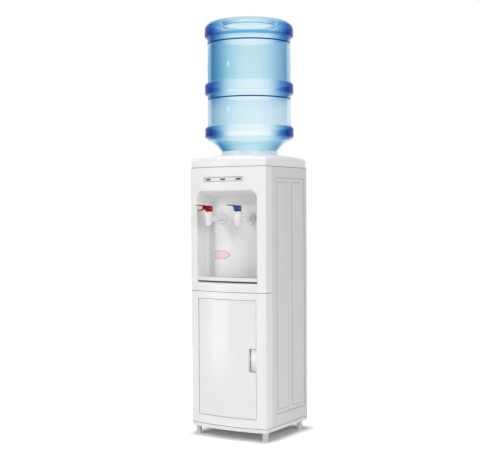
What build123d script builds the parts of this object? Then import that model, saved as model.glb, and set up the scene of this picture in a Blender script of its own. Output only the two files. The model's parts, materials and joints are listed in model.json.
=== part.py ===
from build123d import *
import math
import os

# A floor-standing water dispenser: a cabinet on four feet with hot and cold taps over a drip
# tray, a storage cupboard below them and an upturned bottle on top.
# Millimetres, +Z up, front towards -Y. The origin is on the floor, under the middle of the overall box.

# Cabinet outline
BODY_WIDTH = 270.0
BODY_DEPTH = 252.0  # front corners to rear edge
FRONT_BOW = 16.0  # the front stands this far ahead of its corners
CORNER_RADIUS = 5.0
CORNER_MIN = 1.0
WALL = 2.5
FLANGE = 10.0  # inward stiffening flange of the front mouldings
SIDE_RETURN = 33.0  # how far the front mouldings wrap round the sides
SEAM = 0.4  # joint line between neighbouring mouldings
SHADOW_LINE = 1.5  # height and depth of the lines that mark the joints between stacked mouldings
CREASE = 1.0  # width and depth of the upright lines that carry on the edges of the openings

# Heights of the stacked mouldings
FOOT_HEIGHT = 28.0
BASE_RIM = 6.0
BASE_PLATE = 6.4
LOWER_FRONT = 402.6
UPPER_FRONT = 377.0
COVER_EDGE = 27.0
COVER_CROWN = 12.0
LID_CORNER = 12.0
LID_EDGE = 10.0

# Feet and base
FOOT_RADIUS = 9.5
FOOT_TAPER = 1.2
FOOT_LIP = 10.5
FOOT_LIP_HEIGHT = 3.0
FOOT_FLANGE = 11.0
FOOT_FLANGE_HEIGHT = 3.0
FOOT_INSET = 15.0  # foot centre from the side of the base
FOOT_FRONT_INSET = 17.0
FOOT_REAR_INSET = 28.0
RIM_INSET = 1.5
RIM_WALL = 2.0

# Embossed side panels
EMBOSS_DEPTH = 1.2
EMBOSS_FRONT = 54.5
EMBOSS_REAR = 18.5
EMBOSS_BOTTOM = 35.6
EMBOSS_TOP = 33.0
EMBOSS_RADIUS = 8.0
PAD_MARGIN = 13.0
PAD_GAP = 24.5
PAD_HEIGHT = 0.8
PAD_CHAMFER = 0.5
PAD_RADIUS = 6.0
REAR_LIP = 12.0  # inward lip along the rear edge of a side panel

# Back panel
SHEET = 1.5
BACK_RECESS = 14.0  # rear edge to the front of the back panel
VENT_WIDTH = 70.0
VENT_HEIGHT = 4.0
VENT_PITCH = 9.0
VENT_COUNT = 8
LOW_VENT_COUNT = 6
LOW_VENT_Z = 330.0

# Tap opening, alcove and indicator strip
JAMB = 27.5  # tap opening to the side of the body
SILL = 27.0  # tap opening above the split line
HEAD = 71.0  # tap opening below the cover
OPENING_RADIUS = 24.0
OPENING_EDGE = 1.5
ALCOVE_DEPTH = 50.0  # alcove wall behind the front corners
ALCOVE_FALL = 21.0  # ceiling falls this far towards the wall
COVE_RADIUS = 10.0
SILL_LINE = 12.0  # shallow line above the split
SILL_GROOVE = 0.8
STRIP_LENGTH = 146.0
STRIP_HEIGHT = 14.0
STRIP_OFFSET = -7.0
STRIP_DROP = 36.5  # strip centre below the cover
STRIP_SETBACK = 1.5
STRIP_THICKNESS = 2.0
LAMP_LENGTH = 18.0
LAMP_HEIGHT = 4.6
LAMP_PITCH = 54.6
LAMP_DEPTH = 4.0
BOARD_HEIGHT = 16.0
BOARD_THICKNESS = 1.6
FIT = 0.3  # clearance between a part and the opening that holds it
PRESS_FIT = 0.05

# Drip tray and grille
TRAY_HEIGHT = 17.0
TRAY_LIP = 10.0
TRAY_SETBACK = 1.0
TRAY_SIDE_GAP = 1.2
TRAY_BACK_GAP = 1.0
TRAY_WALL = 3.0
TRAY_FLOOR = 2.5
TRAY_CORNER = 11.0
FINGER_DEPTH = 9.0
GRILLE_THICKNESS = 3.0
GRILLE_LEDGE = 2.0
GRILLE_SLOT = 4.0
GRILLE_PITCH = 8.0
GRILLE_BORDER = 7.0

# Cupboard door and liner
STILE = 30.8  # door opening to the side of the body
BOTTOM_RAIL = 26.0
TOP_RAIL = 21.0
REVEAL_DEPTH = 14.0  # reveal reaches this far behind the front corners
DOOR_GAP = 1.2
DOOR_THICKNESS = 12.0
DOOR_EDGE = 1.2
DOOR_WALL = 3.0
DOOR_RIB = 2.0
HINGE_INSET = 7.0  # hinge axis from the left edge of the door
HINGE_DEPTH = 6.0  # hinge axis behind the front of the door
HINGE_EDGE = 4.0
PIN_RADIUS = 2.5
PIN_CLEARANCE = 0.15
PIN_LENGTH = 24.0
PIN_REACH = 7.0  # length of pin that stands out of the door
BOSS_RADIUS = 5.5
NOTCH_WIDTH = 25.0
NOTCH_HEIGHT = 70.0
NOTCH_RISE = 140.4  # notch bottom above the bottom of the door
NOTCH_RADIUS = 4.0
NOTCH_BACK = 17.0  # plate behind the notch, from the front surface
NOTCH_MARGIN = 10.0
LINER_WALL = 2.0
LINER_STEP = 1.0
LINER_SPACE = 54.0  # depth of the body that the liner leaves free
LINER_DEPTH = BODY_DEPTH - LINER_SPACE
RUNNER_WIDTH = 12.0
RUNNER_INSET = 40.0
CATCH_WIDTH = 12.0
CATCH_HEIGHT = 34.0
CATCH_GAP = 0.8
STRIKE_THICKNESS = 1.2
CATCH_RISE = 300.0

# Bottle and its seat
BOTTLE_OFFSET = 2.0  # bottle axis behind the middle of the body
BOTTLE_SETBACK = BODY_DEPTH / 2 + BOTTLE_OFFSET
BOTTLE_WALL = 1.6
BOTTLE_RING = 138.0
BOTTLE_WAIST = 129.5
NECK_RADIUS = 27.5
NECK_LENGTH = 52.0
SHOULDER_RADIUS = 88.0
SHOULDER_RISE = 32.0
SHOULDER_TOP = 76.0  # shoulder height above the neck's root
SHOULDER_KNEES = ((0.475, 0.6), (0.825, 0.8))  # shares of the way out and up to the first hoop
RING_FLAT = 26.0
RING_SLOPE = 10.0
LOWER_WAIST = 89.0
UPPER_WAIST = 132.0
CROWN_SLOPE = 9.0
CROWN_HEIGHT = 43.0
GROOVE_DEPTH = 1.5  # shallow rings in the waists, under the middle hoop and the crown
GROOVE_DROPS = (9.0, 15.0)
CROWN_RADIUS = 24.0
HEEL_RADIUS = 92.0
HEEL_DEPTH = 10.0
NECK_BLEND = 8.0
SHOULDER_BLEND = 14.0
KNEE_BLEND = 8.0
HOOP_BLEND = 5.0
CROWN_BLEND = 6.0
HEEL_EDGE = 5.0
HEEL_BLEND = 4.0
COLLAR_RADIUS = 88.0
COLLAR_HEIGHT = 12.6
COLLAR_LAND = 14.0
COLLAR_TAPER = 2.0
SEAT_GAP = 0.45
SEAT_WALL = 2.8
SEAT_EDGE = 4.0
GUIDE_CLEARANCE = 4.5
GUIDE_DROP = 6.0  # collar floor below the bottle mouth
COVER_HOLE = 72.0
SPOUT_RADIUS = 10.5
SPOUT_BORE = 8.0
SPOUT_LENGTH = 9.0

# Taps
TAP_SPACING = 103.0
TAP_DROP = 85.0  # tap axis below the top of the opening
TAP_REACH = 74.0  # alcove wall to the nozzle axis
SHANK_RADIUS = 8.5
SHANK_TAIL = 30.0  # threaded length behind the wall
WATERWAY = 4.5
ROSETTE_RADIUS = 18.0
ROSETTE_THICKNESS = 10.0
ROSETTE_RIM = 4.5
ROSETTE_FACE = 12.5
ROSETTE_EDGE = 2.0
BARREL_RADIUS = 11.5
BARREL_RISE = 22.0
BONNET_HEIGHT = 6.0
BONNET_RADIUS = 12.5
BONNET_EDGE = 1.5
BARREL_BLEND = 6.0
NOZZLE_RADIUS = 7.2
NOZZLE_BORE = 5.0
NOZZLE_DROP = 19.5
VALVE_BORE = 7.5
STEM_RADIUS = 2.8
STEM_CLEARANCE = 0.3
STEM_EYE = 4.0
SEAL_RADIUS = 6.8
SEAL_HEIGHT = 5.0
SEAL_LIFT = 0.4
SEAL_CHAMFER = 1.5
NUT_RADIUS = 14.0
NUT_THICKNESS = 8.0
WASHER_THICKNESS = 2.0

# Tap levers
LEVER_WIDTH = 13.0
LEVER_LENGTH = 22.0
LEVER_HEIGHT = 18.5
LEVER_GAP = 0.3  # lever foot above the bonnet
LEVER_TOE = 6.0  # front of the lever foot ahead of the stem
LEVER_CHIN = 13.0  # underside knees ahead of the stem, and how far the first hangs below the paddle
LEVER_THROAT = 17.0
LEVER_CHIN_DROP = 3.0
LEVER_BACK_DROP = 1.0
LEVER_HEEL_EDGE = 2.0
LEVER_THROAT_EDGE = 5.0
LEVER_TOP_EDGE = 3.0
PIVOT_RISE = 10.0
LEVER_SLOT = 6.4
SLOT_REACH = 7.0
LEVER_PIN = 1.5
EYE_CLEARANCE = 0.15
PADDLE_THICKNESS = 3.2
PADDLE_TIP_WIDTH = 15.0
PADDLE_TIP_THICKNESS = 2.2
PADDLE_CORNER = 3.8
COLD_LEVER_REACH = 50.0  # stem to lever tip
HOT_LEVER_REACH = 60.0
PADDLE_RISE = 2.0
CATCH_PIVOT_REACH = 20.0
CATCH_PIVOT_DROP = 9.0
CATCH_PIN = 1.5
CATCH_PIN_FIT = 0.15
CATCH_LEVER_WIDTH = 7.0
CATCH_LEVER_THICKNESS = 3.2
CATCH_TIP_DROP = 17.5
CATCH_TIP_INSET = 3.2
CATCH_KNEE_REACH = 22.0
CATCH_KNEE_RISE = 1.6
CATCH_KNEE_BLEND = 6.0
CATCH_BOSS = 3.0
EAR_THICKNESS = 2.5
EAR_GAP = 0.4
EAR_RADIUS = 4.0

# Cold side
COLD_JACKET = 13.0
TANK_CLEARANCE = 10.5  # alcove to the jacket of the cold tank
COLD_TANK_RADIUS = BOTTLE_SETBACK - ALCOVE_DEPTH - WALL - TANK_CLEARANCE - COLD_JACKET
COLD_TANK_HEIGHT = 76.0
TANK_WALL = 1.2
JACKET_FIT = 0.3
LID_HEIGHT = 4.0
LID_OVERHANG = 4.0
LID_DROP = 6.0  # tank lid below the collar floor
OUTLET_RADIUS = 4.0
OUTLET_LENGTH = 22.0
OUTLET_OFFSET = 34.0
HOSE_RADIUS = 6.5
HOSE_FIT = 0.25
HOSE_GRIP = 12.0
HOSE_BEND = 16.0
TIGHT_BEND = 8.8
WIDE_BEND = 32.0
COLD_BLOCK = 44.0
MODULE_SIZE = 40.0
MODULE_THICKNESS = 4.0
COLD_BLOCK_DEPTH = 9.0
SINK_SIZE = 80.0
SINK_BASE = 5.0
FIN_COUNT = 12
FIN_THICKNESS = 1.6
FAN_DEPTH = 25.0
FAN_SIZE = 80.0
FAN_BORE = 38.0
FAN_BLADE_GAP = 1.5
FAN_HUB = 15.0
FAN_SHAFT = 2.0
FAN_SHAFT_FIT = 0.1
FAN_HUB_HEIGHT = 16.0
FAN_STRUT = 4.0
FAN_STRUT_HEIGHT = 4.0
BLADE_COUNT = 7
BLADE_THICKNESS = 1.6
BLADE_PITCH = 38.0

# Hot side
HOT_TANK_RADIUS = 45.0
HOT_TANK_HEIGHT = 138.0
HOT_JACKET = 7.0
HOT_OFFSET = 24.0  # hot tank behind the middle of the body
HOT_SETBACK = BODY_DEPTH / 2 + HOT_OFFSET
HEATER_HEIGHT = 30.0
HEATER_RISE = 22.0
HEATER_THICKNESS = 3.0
THERMOSTAT_RADIUS = 8.0
THERMOSTAT_DEPTH = 6.0
DRAIN_RADIUS = 7.0
DRAIN_BORE = 4.5
DRAIN_RISE = 14.0
DRAIN_TAIL = 10.0
DRAIN_CAP_RADIUS = 10.0
DRAIN_CAP_WALL = 1.6
DECK_RISE = 2.0  # service deck above the split line
DECK_FLANGE = 14.0
SHELF_SETBACK = 30.0  # cold shelf behind the alcove wall

# Electrics
INLET_WIDTH = 27.0
INLET_HEIGHT = 20.0
INLET_DEPTH = 20.0
INLET_RIM = 3.0
BLADE_LENGTH = 8.0
BLADE_WIDTH = 2.0
BLADE_HEIGHT = 4.0
INLET_INSET = 55.0  # centres of the electrics to the side of the body
INLET_Z = 110.0
SWITCH_WIDTH = 13.0
SWITCH_HEIGHT = 20.0
SWITCH_DEPTH = 18.0
SWITCH_RIM = 2.5
SWITCH_WALL = 1.5
SWITCH_INSET = 69.0
SWITCH_PITCH = 28.0
SWITCH_Z = 640.0
ROCKER_DISH = 15.0
ROCKER_TILT = 7.0
BOARD_LENGTH = 92.0
BOARD_WIDTH = 64.0
BOARD_INSET = 59.0
STANDOFF = 8.0
TRANSFORMER_HEIGHT = 24.0
CAPACITOR_RADIUS = 8.0
CAPACITOR_HEIGHT = 24.0

# Places worked out from the sizes above
LEVER_OVERHANG = TAP_REACH + HOT_LEVER_REACH - ALCOVE_DEPTH
REAR_REACH = max(BODY_DEPTH, BOTTLE_SETBACK + BOTTLE_RING)
FRONT_Y = (LEVER_OVERHANG - REAR_REACH) / 2
REAR_Y = FRONT_Y + BODY_DEPTH
HALF = BODY_WIDTH / 2
INLET_X = HALF - INLET_INSET
SWITCH_X = HALF - SWITCH_INSET
BOARD_X = HALF - BOARD_INSET
BOW_RADIUS = (HALF**2 + FRONT_BOW**2) / (2 * FRONT_BOW)
BOW_CENTRE_Y = FRONT_Y - FRONT_BOW + BOW_RADIUS
PLATE_Z = FOOT_HEIGHT + BASE_RIM
BODY_Z = PLATE_Z + BASE_PLATE
SPLIT_Z = BODY_Z + LOWER_FRONT
COVER_Z = SPLIT_Z + UPPER_FRONT
LAND_Z = COVER_Z + COVER_EDGE + COVER_CROWN
BACK_Y = REAR_Y - BACK_RECESS  # front of the back panel
OPENING_HALF = HALF - JAMB
SILL_Z = SPLIT_Z + SILL
HEAD_Z = COVER_Z - HEAD
WALL_Y = FRONT_Y + ALCOVE_DEPTH
DOOR_OPENING = HALF - STILE
DOOR_SILL_Z = BODY_Z + BOTTOM_RAIL
DOOR_HEAD_Z = SPLIT_Z - TOP_RAIL
DOOR_HALF = DOOR_OPENING - DOOR_GAP
DOOR_Z = DOOR_SILL_Z + DOOR_GAP
DOOR_TOP_Z = DOOR_HEAD_Z - DOOR_GAP
REVEAL_Y = FRONT_Y + REVEAL_DEPTH
BOTTLE_Y = FRONT_Y + BOTTLE_SETBACK
TAP_X = TAP_SPACING / 2
TAP_Y = WALL_Y - TAP_REACH
TAP_Z = HEAD_Z - TAP_DROP
BONNET_Z = TAP_Z + BARREL_RISE
LEVER_Z = BONNET_Z + LEVER_GAP
PIVOT_Z = LEVER_Z + PIVOT_RISE
COLLAR_TOP_Z = LAND_Z + COLLAR_HEIGHT
SHOULDER_SLOPE = SHOULDER_RISE / (SHOULDER_RADIUS - NECK_RADIUS)
SHOULDER_TILT = math.hypot(1, SHOULDER_SLOPE)  # upright thickness of a sloping wall, per thickness
NECK_ROOT_Z = COLLAR_TOP_Z + SEAT_GAP - (COLLAR_RADIUS - COLLAR_TAPER - NECK_RADIUS) * SHOULDER_SLOPE
MOUTH_Z = NECK_ROOT_Z - NECK_LENGTH
COLLAR_FLOOR_Z = MOUTH_Z - GUIDE_DROP
LID_Z = COLLAR_FLOOR_Z - SEAT_WALL - LID_DROP - LID_HEIGHT
COLD_TANK_Z = LID_Z - COLD_TANK_HEIGHT
COLD_SHELF_Z = COLD_TANK_Z - JACKET_FIT - COLD_JACKET / 2
DECK_Z = SPLIT_Z + DECK_RISE
HOT_Y = FRONT_Y + HOT_SETBACK
HOT_JACKET_Z = DECK_Z + SHEET
HOT_TANK_Z = HOT_JACKET_Z + HOT_JACKET
HOT_TOP_Z = HOT_TANK_Z + HOT_TANK_HEIGHT


def bow_y(x, inset=0.0):
    """Y of the bowed front at X, taken that far in from the outer face."""
    return BOW_CENTRE_Y - math.sqrt((BOW_RADIUS - inset) ** 2 - x * x)


def block(x0, x1, y0, y1, z0, z1):
    """Box between two corners."""
    middle = Pos((x0 + x1) / 2, (y0 + y1) / 2, (z0 + z1) / 2)
    return middle * Box(abs(x1 - x0), abs(y1 - y0), abs(z1 - z0))


def rod(start, direction, radius, length):
    """Cylinder from a start point along a direction."""
    place = Plane(origin=start, z_dir=direction)
    return place * Cylinder(radius, length, align=(Align.CENTER, Align.CENTER, Align.MIN))


def rounded(points, rounds=()):
    """Closed outline through the points, with (point index, radius) corners rounded."""
    face = Polygon(*points, align=None)
    for index, radius in rounds:
        x, y = points[index]
        corner = face.vertices().sort_by_distance((x, y, 0))[0]
        face = fillet(corner, radius)
    return face


def turned(points, rounds=()):
    """Solid turned about Z from a half profile of (radius, height) points."""
    return revolve(Plane.XZ * rounded(points, rounds), axis=Axis.Z)


def front_outline(inset, rear_y, corner=CORNER_RADIUS):
    """Plan of the body from its bowed front back to rear_y, in by inset at the front and the sides."""
    half = HALF - inset
    corner_y = bow_y(half, inset)
    bow = ThreePointArc((-half, corner_y), (0, bow_y(0, inset)), (half, corner_y))
    sides = Polyline((half, corner_y), (half, rear_y), (-half, rear_y), (-half, corner_y))
    face = make_face(bow.edges() + sides.edges())
    corners = face.vertices().sort_by(Axis.Y)[:2]
    return fillet(corners, max(corner - inset, CORNER_MIN))


def raised(face, z0, z1):
    """Plan face extruded from z0 to z1."""
    return extrude(Pos(0, 0, z0) * face, amount=z1 - z0, dir=(0, 0, 1))


def bowed_plate(x0, x1, near, far, z0, z1):
    """Plate between two depths behind the bowed front, from x0 to x1 and z0 to z1."""
    middle = (x0 + x1) / 2
    outer = ThreePointArc((x0, bow_y(x0, near)), (middle, bow_y(middle, near)), (x1, bow_y(x1, near)))
    inner = ThreePointArc((x0, bow_y(x0, far)), (middle, bow_y(middle, far)), (x1, bow_y(x1, far)))
    ends = Line((x0, bow_y(x0, near)), (x0, bow_y(x0, far))).edges()
    ends += Line((x1, bow_y(x1, near)), (x1, bow_y(x1, far))).edges()
    return raised(make_face(outer.edges() + inner.edges() + ends), z0, z1)


def on_front(shape):
    """Edges of a shape whose middles lie on the bowed outer face."""
    return [edge for edge in shape.edges() if abs((edge @ 0.5).Y - bow_y((edge @ 0.5).X)) < SEAM]


def through_front(outline, y0=None, y1=None):
    """XZ outline pushed along Y, through the whole front unless told otherwise."""
    start = FRONT_Y - FRONT_BOW - WALL if y0 is None else y0
    stop = WALL_Y if y1 is None else y1
    return extrude(Pos(0, start, 0) * (Plane.XZ * outline), amount=stop - start, dir=(0, 1, 0))


def rectangle_at(x0, x1, z0, z1, radius=0.0):
    """XZ rectangle between two corners, its corners rounded if a radius is given."""
    width, height = x1 - x0, z1 - z0
    shape = RectangleRounded(width, height, radius) if radius else Rectangle(width, height)
    return Pos((x0 + x1) / 2, (z0 + z1) / 2) * shape


def front_moulding(z0, z1):
    """Bowed front wall with side returns and inward flanges at its top and bottom."""
    return_y = FRONT_Y + SIDE_RETURN
    skin = front_outline(0, return_y) - front_outline(WALL, return_y + FLANGE)
    rim = front_outline(WALL, return_y) - front_outline(WALL + FLANGE, return_y + FLANGE)
    moulding = raised(skin, z0, z1)
    moulding += raised(rim, z0, z0 + WALL)
    moulding += raised(rim, z1 - WALL, z1)
    return moulding


def joint_line(z0):
    """Ring round the outside of the body, cut away from z0 up to leave a shadow line."""
    outside = front_outline(-WALL, REAR_Y + WALL)
    return raised(outside - front_outline(SHADOW_LINE, REAR_Y - SHADOW_LINE), z0, z0 + SHADOW_LINE)


def creases(x, z0, z1):
    """Two shallow upright grooves in the bowed front, just outside x on each side."""
    right = bowed_plate(x, x + CREASE, -WALL, CREASE, z0, z1)
    return right + mirror(right, about=Plane.YZ)


def foot():
    """One moulded foot standing on the floor at the origin."""
    return turned(
        [
            (0, 0),
            (FOOT_LIP, 0),
            (FOOT_LIP, FOOT_LIP_HEIGHT),
            (FOOT_RADIUS - FOOT_TAPER, FOOT_LIP_HEIGHT + FOOT_TAPER),
            (FOOT_RADIUS, PLATE_Z - FOOT_FLANGE_HEIGHT - FOOT_TAPER),
            (FOOT_FLANGE, PLATE_Z - FOOT_FLANGE_HEIGHT),
            (FOOT_FLANGE, PLATE_Z),
            (0, PLATE_Z),
        ]
    )


def feet():
    """The four feet under the corners of the base."""
    x = HALF - FOOT_INSET
    rows = (FRONT_Y + FOOT_FRONT_INSET, REAR_Y - FOOT_REAR_INSET)
    return Compound(children=[Pos(side * x, y, 0) * foot() for y in rows for side in (-1, 1)])


def base_plate():
    """Floor plate with a set-in rim under it."""
    plate = raised(front_outline(0, REAR_Y), PLATE_Z, BODY_Z)
    inner = front_outline(RIM_INSET + RIM_WALL, REAR_Y - RIM_INSET - RIM_WALL)
    rim = front_outline(RIM_INSET, REAR_Y - RIM_INSET) - inner
    return plate + raised(rim, FOOT_HEIGHT, PLATE_Z) - joint_line(BODY_Z - SHADOW_LINE)


def side_panel(side):
    """Side panel with a sunk frame, two raised pads and a rear lip."""
    y0 = FRONT_Y + SIDE_RETURN + SEAM
    inner = HALF - WALL
    lip = inner - REAR_LIP
    rear = REAR_Y - WALL
    points = [(inner, y0), (HALF, y0), (HALF, REAR_Y), (lip, REAR_Y), (lip, rear), (inner, rear)]
    panel = raised(rounded(points, [(2, CORNER_RADIUS)]), BODY_Z, COVER_Z)
    sunk_y0, sunk_y1 = FRONT_Y + EMBOSS_FRONT, REAR_Y - EMBOSS_REAR
    sunk_z0, sunk_z1 = BODY_Z + EMBOSS_BOTTOM, COVER_Z - EMBOSS_TOP
    face = Plane(origin=(HALF, 0, 0), x_dir=(0, 1, 0), z_dir=(1, 0, 0))
    sunk = face * rectangle_at(sunk_y0, sunk_y1, sunk_z0, sunk_z1, EMBOSS_RADIUS)
    panel -= extrude(sunk, amount=-EMBOSS_DEPTH)
    pad_width = (sunk_y1 - sunk_y0 - 2 * PAD_MARGIN - PAD_GAP) / 2
    floor = Plane(origin=(HALF - EMBOSS_DEPTH, 0, 0), x_dir=(0, 1, 0), z_dir=(1, 0, 0))
    for start in (sunk_y0 + PAD_MARGIN, sunk_y1 - PAD_MARGIN - pad_width):
        pad = rectangle_at(start, start + pad_width, sunk_z0 + PAD_MARGIN, sunk_z1 - PAD_MARGIN, PAD_RADIUS)
        solid = extrude(floor * pad, amount=PAD_HEIGHT)
        top = solid.faces().sort_by(Axis.X)[-1]
        panel += chamfer(top.edges(), PAD_CHAMFER)
    return panel if side > 0 else mirror(panel, about=Plane.YZ)


def back_panel():
    """Back sheet set in between the side panels, with vents and cut-outs."""
    half = HALF - WALL
    panel = block(-half, half, BACK_Y, BACK_Y + SHEET, BODY_Z, COVER_Z)
    cuts = []
    for count, middle in ((VENT_COUNT, cooling_z()), (LOW_VENT_COUNT, LOW_VENT_Z)):
        for index in range(count):
            z = middle + (index - (count - 1) / 2) * VENT_PITCH
            half = VENT_WIDTH / 2
            cuts.append(rectangle_at(-half, half, z - VENT_HEIGHT / 2, z + VENT_HEIGHT / 2))
    half, rise = INLET_WIDTH / 2 + FIT, INLET_HEIGHT / 2 + FIT
    cuts.append(rectangle_at(INLET_X - half, INLET_X + half, INLET_Z - rise, INLET_Z + rise))
    for x in switch_places():
        half, rise = SWITCH_WIDTH / 2 + SWITCH_WALL + FIT, SWITCH_HEIGHT / 2 + SWITCH_WALL + FIT
        cuts.append(rectangle_at(x - half, x + half, SWITCH_Z - rise, SWITCH_Z + rise))
    drain = Pos(-TAP_X, HOT_TANK_Z + DRAIN_RISE) * Circle(DRAIN_RADIUS + FIT)
    for cut in cuts + [drain]:
        panel -= through_front(cut, BACK_Y - WALL, BACK_Y + SHEET + WALL)
    return panel


def tap_opening(grow=0.0, fall=0.0):
    """XZ outline of the tap opening, with rounded upper corners."""
    half, top = OPENING_HALF + grow, HEAD_Z + grow - fall
    points = [(-half, SILL_Z - grow), (half, SILL_Z - grow), (half, top), (-half, top)]
    radius = OPENING_RADIUS + grow
    return rounded(points, [(2, radius), (3, radius)])


def strip_outline(grow=0.0):
    """XZ outline of the indicator strip."""
    centre = Pos(STRIP_OFFSET, COVER_Z - STRIP_DROP)
    return centre * SlotOverall(STRIP_LENGTH + 2 * grow, STRIP_HEIGHT + 2 * grow)


def lamp_places():
    """X of the three lamp windows."""
    return [STRIP_OFFSET + step * LAMP_PITCH for step in (-1, 0, 1)]


def lamp_outline(x, grow=0.0):
    """XZ outline of one lamp window."""
    z = COVER_Z - STRIP_DROP
    half, rise = LAMP_LENGTH / 2 + grow, LAMP_HEIGHT / 2 + grow
    return rectangle_at(x - half, x + half, z - rise, z + rise)


def upper_front_panel():
    """Upper front moulding with the tap opening and the indicator slot."""
    panel = front_moulding(SPLIT_Z, COVER_Z)
    panel -= through_front(tap_opening(), y1=FRONT_Y + SIDE_RETURN)
    inside = [edge for edge in on_front(panel) if abs((edge @ 0.5).X) < OPENING_HALF + SEAM]
    rim = [edge for edge in inside if SILL_Z - SEAM < (edge @ 0.5).Z < HEAD_Z + SEAM]
    panel = fillet(rim, OPENING_EDGE)
    panel -= through_front(strip_outline(), y1=FRONT_Y + SIDE_RETURN)
    line_z = SPLIT_Z + SILL_LINE
    panel -= bowed_plate(-OPENING_HALF, OPENING_HALF, -WALL, SILL_GROOVE, line_z - SILL_GROOVE, line_z)
    return panel - creases(OPENING_HALF, SPLIT_Z, SILL_Z) - joint_line(SPLIT_Z)


def alcove_space(grow):
    """Space of the tap alcove, or its outside when grown by the wall."""
    start = FRONT_Y - FRONT_BOW - WALL
    back = WALL_Y + grow
    slope = ALCOVE_FALL / (WALL_Y - start)
    front_face = Pos(0, start, 0) * (Plane.XZ * tap_opening(grow))
    back_face = Pos(0, back, 0) * (Plane.XZ * tap_opening(grow, slope * (back - start)))
    space = loft([front_face, back_face], ruled=True)
    wall = space.faces().sort_by(Axis.Y)[-1]
    coved = [edge for edge in wall.edges() if edge.center().Z > SILL_Z + COVE_RADIUS]
    return fillet(coved, COVE_RADIUS + grow)


def tap_alcove():
    """Liner behind the tap opening: floor, side walls, falling ceiling and the wall that holds the taps."""
    liner = alcove_space(WALL) - alcove_space(0)
    liner &= raised(front_outline(WALL + SEAM, REAR_Y), SPLIT_Z, COVER_Z)
    for x in (-TAP_X, TAP_X):
        liner -= rod((x, WALL_Y - WALL, TAP_Z), (0, 1, 0), SHANK_RADIUS + FIT, 3 * WALL)
    return liner


def indicator_window():
    """Strip set into the indicator slot, with a window for each lamp."""
    x0, x1 = STRIP_OFFSET - STRIP_LENGTH / 2, STRIP_OFFSET + STRIP_LENGTH / 2
    z = COVER_Z - STRIP_DROP
    far = STRIP_SETBACK + STRIP_THICKNESS
    strip = bowed_plate(x0, x1, STRIP_SETBACK, far, z - STRIP_HEIGHT, z + STRIP_HEIGHT)
    strip &= through_front(strip_outline(-FIT))
    for x in lamp_places():
        strip -= through_front(lamp_outline(x, FIT))
    return strip


def indicator_lamps():
    """Lamp lenses standing on the board and filling the windows of the strip."""
    lamps = []
    near = STRIP_SETBACK + STRIP_THICKNESS / 2
    for x in lamp_places():
        half, z = LAMP_LENGTH / 2, COVER_Z - STRIP_DROP
        rise = LAMP_HEIGHT / 2
        lamps.append(bowed_plate(x - half, x + half, near, near + LAMP_DEPTH, z - rise, z + rise))
    return Compound(children=lamps)


def indicator_board():
    """Circuit board behind the lamps, clipped to the back of the strip by two posts."""
    z = COVER_Z - STRIP_DROP
    near = STRIP_SETBACK + STRIP_THICKNESS / 2 + LAMP_DEPTH + SEAM
    half = STRIP_LENGTH / 2
    rise = BOARD_HEIGHT / 2
    x0, x1 = STRIP_OFFSET - half, STRIP_OFFSET + half
    board = bowed_plate(x0, x1, near, near + BOARD_THICKNESS, z - rise, z + rise)
    post = STRIP_SETBACK + STRIP_THICKNESS
    for x in (STRIP_OFFSET - LAMP_PITCH / 2, STRIP_OFFSET + LAMP_PITCH / 2):
        x0, x1 = x - LAMP_HEIGHT / 2, x + LAMP_HEIGHT / 2
        board += bowed_plate(x0, x1, post, near + BOARD_THICKNESS, z - WALL, z + WALL)
    return board


def tray_outline(front, margin):
    """Plan of the drip tray, its front that far behind the bow and its other sides in by margin."""
    half = OPENING_HALF - TRAY_SIDE_GAP - margin
    rear = WALL_Y - TRAY_BACK_GAP - margin
    bow = ThreePointArc((-half, bow_y(half, front)), (0, bow_y(0, front)), (half, bow_y(half, front)))
    sides = Polyline((half, bow_y(half, front)), (half, rear), (-half, rear), (-half, bow_y(half, front)))
    face = make_face(bow.edges() + sides.edges())
    return fillet(face.vertices().sort_by(Axis.Y)[-2:], TRAY_CORNER - margin)


def drip_tray():
    """Removable basin with an overhanging front lip and a rebate for the grille."""
    top = SILL_Z + TRAY_HEIGHT
    tray = raised(tray_outline(FINGER_DEPTH, 0), SILL_Z, top)
    tray += raised(tray_outline(TRAY_SETBACK, 0), top - TRAY_LIP, top)
    basin = tray_outline(FINGER_DEPTH + TRAY_WALL, TRAY_WALL + GRILLE_LEDGE)
    tray -= raised(basin, SILL_Z + TRAY_FLOOR, top)
    rebate = tray_outline(FINGER_DEPTH + TRAY_WALL - GRILLE_LEDGE, TRAY_WALL)
    tray -= raised(rebate, top - GRILLE_THICKNESS, top)
    return tray


def drip_grille():
    """Slotted cup stand that lifts out of the tray."""
    top = SILL_Z + TRAY_HEIGHT
    front = FINGER_DEPTH + TRAY_WALL - GRILLE_LEDGE + FIT
    grille = raised(tray_outline(front, TRAY_WALL + FIT), top - GRILLE_THICKNESS, top)
    half = OPENING_HALF - TRAY_SIDE_GAP - TRAY_WALL - GRILLE_BORDER
    count = int(2 * half / GRILLE_PITCH)
    rear = WALL_Y - TRAY_BACK_GAP - TRAY_WALL - GRILLE_BORDER
    for index in range(count):
        x = (index - (count - 1) / 2) * GRILLE_PITCH
        y0 = bow_y(x, front) + GRILLE_BORDER
        slot_x0, slot_x1 = x - GRILLE_SLOT / 2, x + GRILLE_SLOT / 2
        grille -= block(slot_x0, slot_x1, y0, rear, top - 2 * GRILLE_THICKNESS, top + WALL)
    return grille


def hinge_place():
    """X and Y of the door hinge axis."""
    x = -DOOR_HALF + HINGE_INSET
    return x, bow_y(x, HINGE_DEPTH)


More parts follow.
